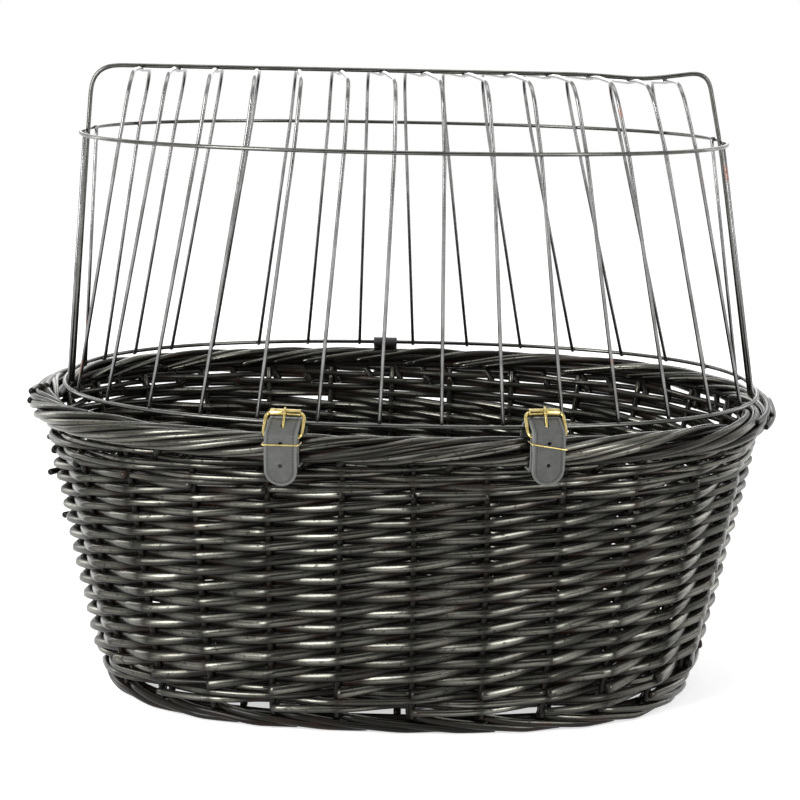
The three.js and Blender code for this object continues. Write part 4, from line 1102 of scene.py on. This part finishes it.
    def build_keeper(self):
        room = GAP + KEEPER_WIRE / 2
        back = self.heel[0] - self.fold - CHAPE_THICKNESS / 2 - room
        front = self.heel[0] + self.over_fold + BILLET_THICKNESS / 2 + room
        half = STRAP_WIDTH / 2 + KEEPER_ROOM + KEEPER_WIRE / 2
        corners = [(-half, front, 0), (half, front, 0), (half, back, 0), (-half, back, 0)]
        side, out, up = rounded_loop(corners, KEEPER_CORNER).T
        cos, sin = math.cos(self.keeper_tilt), math.sin(self.keeper_tilt)
        side, up = side * cos + up * sin, up * cos - side * sin
        rods = Rods()
        path = self.place(side, out, self.heel[1] - self.keeper_drop + up)
        rods.add(path, KEEPER_WIRE / 2, 12, closed=True)
        self.finish_brass(rods, "keeper_", "strap_keeper_", "keeper_")

    def build_rivet(self):
        plies = CHAPE_THICKNESS + GAP + BILLET_THICKNESS
        middle = np.array([CHAPE_INSIDE + (CHAPE_THICKNESS - plies) / 2, RIVET_UP])
        piece = rivet_piece("brass_rivet_" + self.side, self.place, middle, plies)
        dress(piece, "strap_rivet_" + self.side, "basket")


def lathe_mesh(name, points, closed):
    """Brass turned on an axis: one row of points for each place of its profile."""
    rows, sides = points.shape[:2]
    quads = band_quads(rows, sides, closed)[:, [0, 3, 2, 1]]
    piece = make_mesh(name, points.reshape(-1, 3), quads, [], brass_metal, {})
    shape = bmesh.new()
    shape.from_mesh(piece.data)
    bmesh.ops.remove_doubles(shape, verts=shape.verts, dist=1e-6)
    bmesh.ops.recalc_face_normals(shape, faces=shape.faces)
    shape.to_mesh(piece.data)
    shape.free()
    mark_sharp(piece.data, 40)
    return piece


def rivet_piece(name, place, middle, plies):
    """A shank through the plies, with a domed head on both sides."""
    half, shank, head, rise = plies / 2 + GAP, 1.1, 2.2, 0.7
    slope = np.radians(np.arange(0, 91, 15))
    ends = [(half, shank), (half, head), *zip(half + rise * np.sin(slope), head * np.cos(slope))]
    profile = np.array([(-out, r) for out, r in reversed(ends)] + ends)
    turn = np.arange(28) * 2 * math.pi / 28
    out, radius = profile[:, :1], profile[:, 1:]
    points = place(radius * np.cos(turn), middle[0] + out, middle[1] + radius * np.sin(turn))
    return lathe_mesh(name, points, closed=False)


# The rear hinge: a leather loop round the lower ring, riveted behind the border

def build_hinge():
    ring_place = np.array(joints["cover_hinge"]["pos_m"]) / MM
    a, b, n = BORDER_OVAL
    line_y = b * (1 - (abs(ring_place[0]) / a) ** n) ** (1 / n)
    origin = np.array([ring_place[0], line_y, 0.0])
    ring = np.array([ring_place[1] - line_y, ring_place[2]])
    ply = LOOP_THICKNESS + GAP
    inner = BORDER_ACROSS / 2 + 0.7 + 2 * GAP + LOOP_THICKNESS / 2
    outer = inner + ply
    loop = 1.4 + 0.5 + LOOP_THICKNESS / 2
    slot, crown = HINGE_SLOT, BORDER_MIDDLE + BORDER_RISE * 0.42

    def place(side, out, up):
        side, out, up = np.broadcast_arrays(np.asarray(side, float), out, up)
        return origin + np.stack([-side, out, up], -1)

    bend = Bend([
        [[inner - 18, slot], [inner - 8, slot]],
        bezier((inner - 8, slot), (inner - 3, slot), (inner, slot + 1.5), (inner, RIVET_UP)),
        bezier((inner, BORDER_MIDDLE), (inner, crown), (ring[0] + loop * 3.5, ring[1] - loop),
               (ring[0], ring[1] - loop)),
        arc(ring, loop, -90, -270),
        bezier((ring[0], ring[1] + loop), (ring[0] + loop * 3.7, ring[1] + loop), (outer, crown + ply),
               (outer, BORDER_MIDDLE)),
        [[outer, BORDER_MIDDLE - 8]],
    ])
    rivet = np.array([inner + ply / 2, BORDER_MIDDLE - 3.5])
    holes = [round_hole(bend.nearest(rivet + (side * ply / 2, 0)), RIVET_HOLE) for side in (-1, 1)]
    piece = bent_leather("hinge_leather", bend, bend.strip(LOOP_WIDTH), holes, LOOP_THICKNESS, place,
                         loop_leather)
    dress(piece, "hinge_loop", "basket")
    piece = rivet_piece("hinge_rivet_brass", place, rivet, ply + LOOP_THICKNESS)
    dress(piece, "hinge_rivet", "basket")


# Camera, lights and floor, in metres

CAMERA_PLACE, CAMERA_DOWN, CAMERA_PAN, CAMERA_ROLL = (0.00207, -1.5803, 0.491), 0.1836, 0.00225, 0.0194
CAMERA_LENS = 99.25
FLOOR_HALF = 4
# How far from the middle the floor starts to glow white and where it is wholly white, with its share
GLOW_NEAR, GLOW_FAR = (1.0, 0.6), (2.6, 1.0)
ROOM = 0.12
# Name, azimuth, distance, height, size and power of each lamp
STUDIO = [
    ("softbox_left", -40, 1.75, 0.8, (0.6, 1.05), 32),
    ("softbox_right", 40, 1.75, 0.8, (0.5, 1.05), 14.5),
    ("softbox_far_left", -118, 1.75, 0.85, (0.4, 1.7), 9),
    ("softbox_far_right", 118, 1.75, 0.85, (0.4, 1.7), 6),
    ("softbox_top", 180, 0.1, 1.9, (1.4, 1.0), 9),
    ("softbox_back", 180, 1.7, 0.9, (1.4, 0.9), 8),
]
STUDIO_AIM = (0, 0, 0.2)
FLAG_CORNERS, FLAG_HEIGHTS = [(-2.2, -1.2), (-1.3, -2.4), (1.3, -2.4), (2.2, -1.2)], (0.1, 2.4)


def seen_directly(tree):
    """1 for a ray from the camera, through glass or off something shiny, and 0 for one that only lights."""
    path = add(tree, "ShaderNodeLightPath").outputs
    seen = highest(tree, path["Is Camera Ray"], path["Is Transmission Ray"])
    return highest(tree, seen, path["Is Glossy Ray"])


def stage_piece(name, points, faces, material, in_view=True):
    mesh = bpy.data.meshes.new(name)
    mesh.from_pydata(points, [], faces)
    mesh.materials.append(material)
    piece = linked(name, mesh)
    piece.visible_camera = in_view


def build_camera():
    data = bpy.data.cameras.new("camera")
    data.lens = CAMERA_LENS
    data.sensor_width = 36
    data.clip_end = 50
    camera = linked("camera", data)
    camera.matrix_world = (Matrix.Translation(CAMERA_PLACE) @ Matrix.Rotation(CAMERA_PAN, 4, "Z")
                           @ Matrix.Rotation(math.radians(90) - CAMERA_DOWN, 4, "X")
                           @ Matrix.Rotation(CAMERA_ROLL, 4, "Z"))
    bpy.context.scene.camera = camera


def build_floor():
    material, tree, shader = new_material("floor_pale")
    feed(tree, shader, {"Base Color": (0.86, 0.86, 0.86), "Roughness": 0.9, "Specular IOR Level": 0.1})
    place = add(tree, "ShaderNodeTexCoord").outputs["Object"]
    reach = add(tree, "ShaderNodeVectorMath", {0: place}, operation="LENGTH").outputs["Value"]
    far = add(tree, "ShaderNodeMapRange", interpolation_type="SMOOTHSTEP")
    feed(tree, far, {"Value": reach, "From Min": GLOW_NEAR[0], "To Min": GLOW_NEAR[1],
                     "From Max": GLOW_FAR[0], "To Max": GLOW_FAR[1]})
    inputs = {0: seen_directly(tree), 1: far.outputs["Result"]}
    share = add(tree, "ShaderNodeMath", inputs, operation="MULTIPLY").outputs[0]
    glow = add(tree, "ShaderNodeEmission", {"Color": (1, 1, 1), "Strength": share})
    both = add(tree, "ShaderNodeAddShader", {0: shader.outputs[0], 1: glow.outputs[0]})
    feed(tree, tree.nodes["Material Output"], {"Surface": both.outputs[0]})
    h = FLOOR_HALF
    stage_piece("floor", [(-h, -h, 0), (h, -h, 0), (h, h, 0), (-h, h, 0)], [(0, 1, 2, 3)], material)


def build_flag():
    """Black panels round the camera, which it doesn't see, for dark edges on the wires."""
    material, tree, shader = new_material("flag_black")
    feed(tree, shader, {"Base Color": (0.01, 0.01, 0.01), "Roughness": 0.9})
    points = [(x, y, z) for z in FLAG_HEIGHTS for x, y in FLAG_CORNERS]
    stage_piece("flag", points, [(i, i + 1, i + 5, i + 4) for i in range(3)], material, in_view=False)


def build_lights():
    world = bpy.data.worlds.new("studio")
    bpy.context.scene.world = world
    world.use_nodes = True
    tree = world.node_tree
    room = add(tree, "ShaderNodeMapRange", {"To Min": ROOM, "To Max": 1.0, "Value": seen_directly(tree)})
    feed(tree, tree.nodes["Background"], {"Color": (1, 1, 1), "Strength": room.outputs["Result"]})
    for name, azimuth, distance, height, size, energy in STUDIO:
        light = bpy.data.lights.new(name, "AREA")
        light.shape = "RECTANGLE"
        light.size, light.size_y = size
        light.energy = energy
        lamp = linked(name, light)
        angle = math.radians(azimuth)
        lamp.location = (distance * math.sin(angle), -distance * math.cos(angle), height)
        lamp.rotation_euler = (Vector(STUDIO_AIM) - lamp.location).to_track_quat("-Z", "Y").to_euler()


build_wall()
for band in WALING:
    build_waling(*band)
build_rim()
build_foot()
build_base()
build_cage()
Closure("left", 15.392, keeper_drop=3.9, keeper_tilt=-1.5).build()
Closure("right", 15.392, keeper_drop=5.4, keeper_tilt=10).build()
build_hinge()
build_camera()
build_floor()
build_flag()
build_lights()
bpy.context.scene.view_settings.view_transform = "Standard"
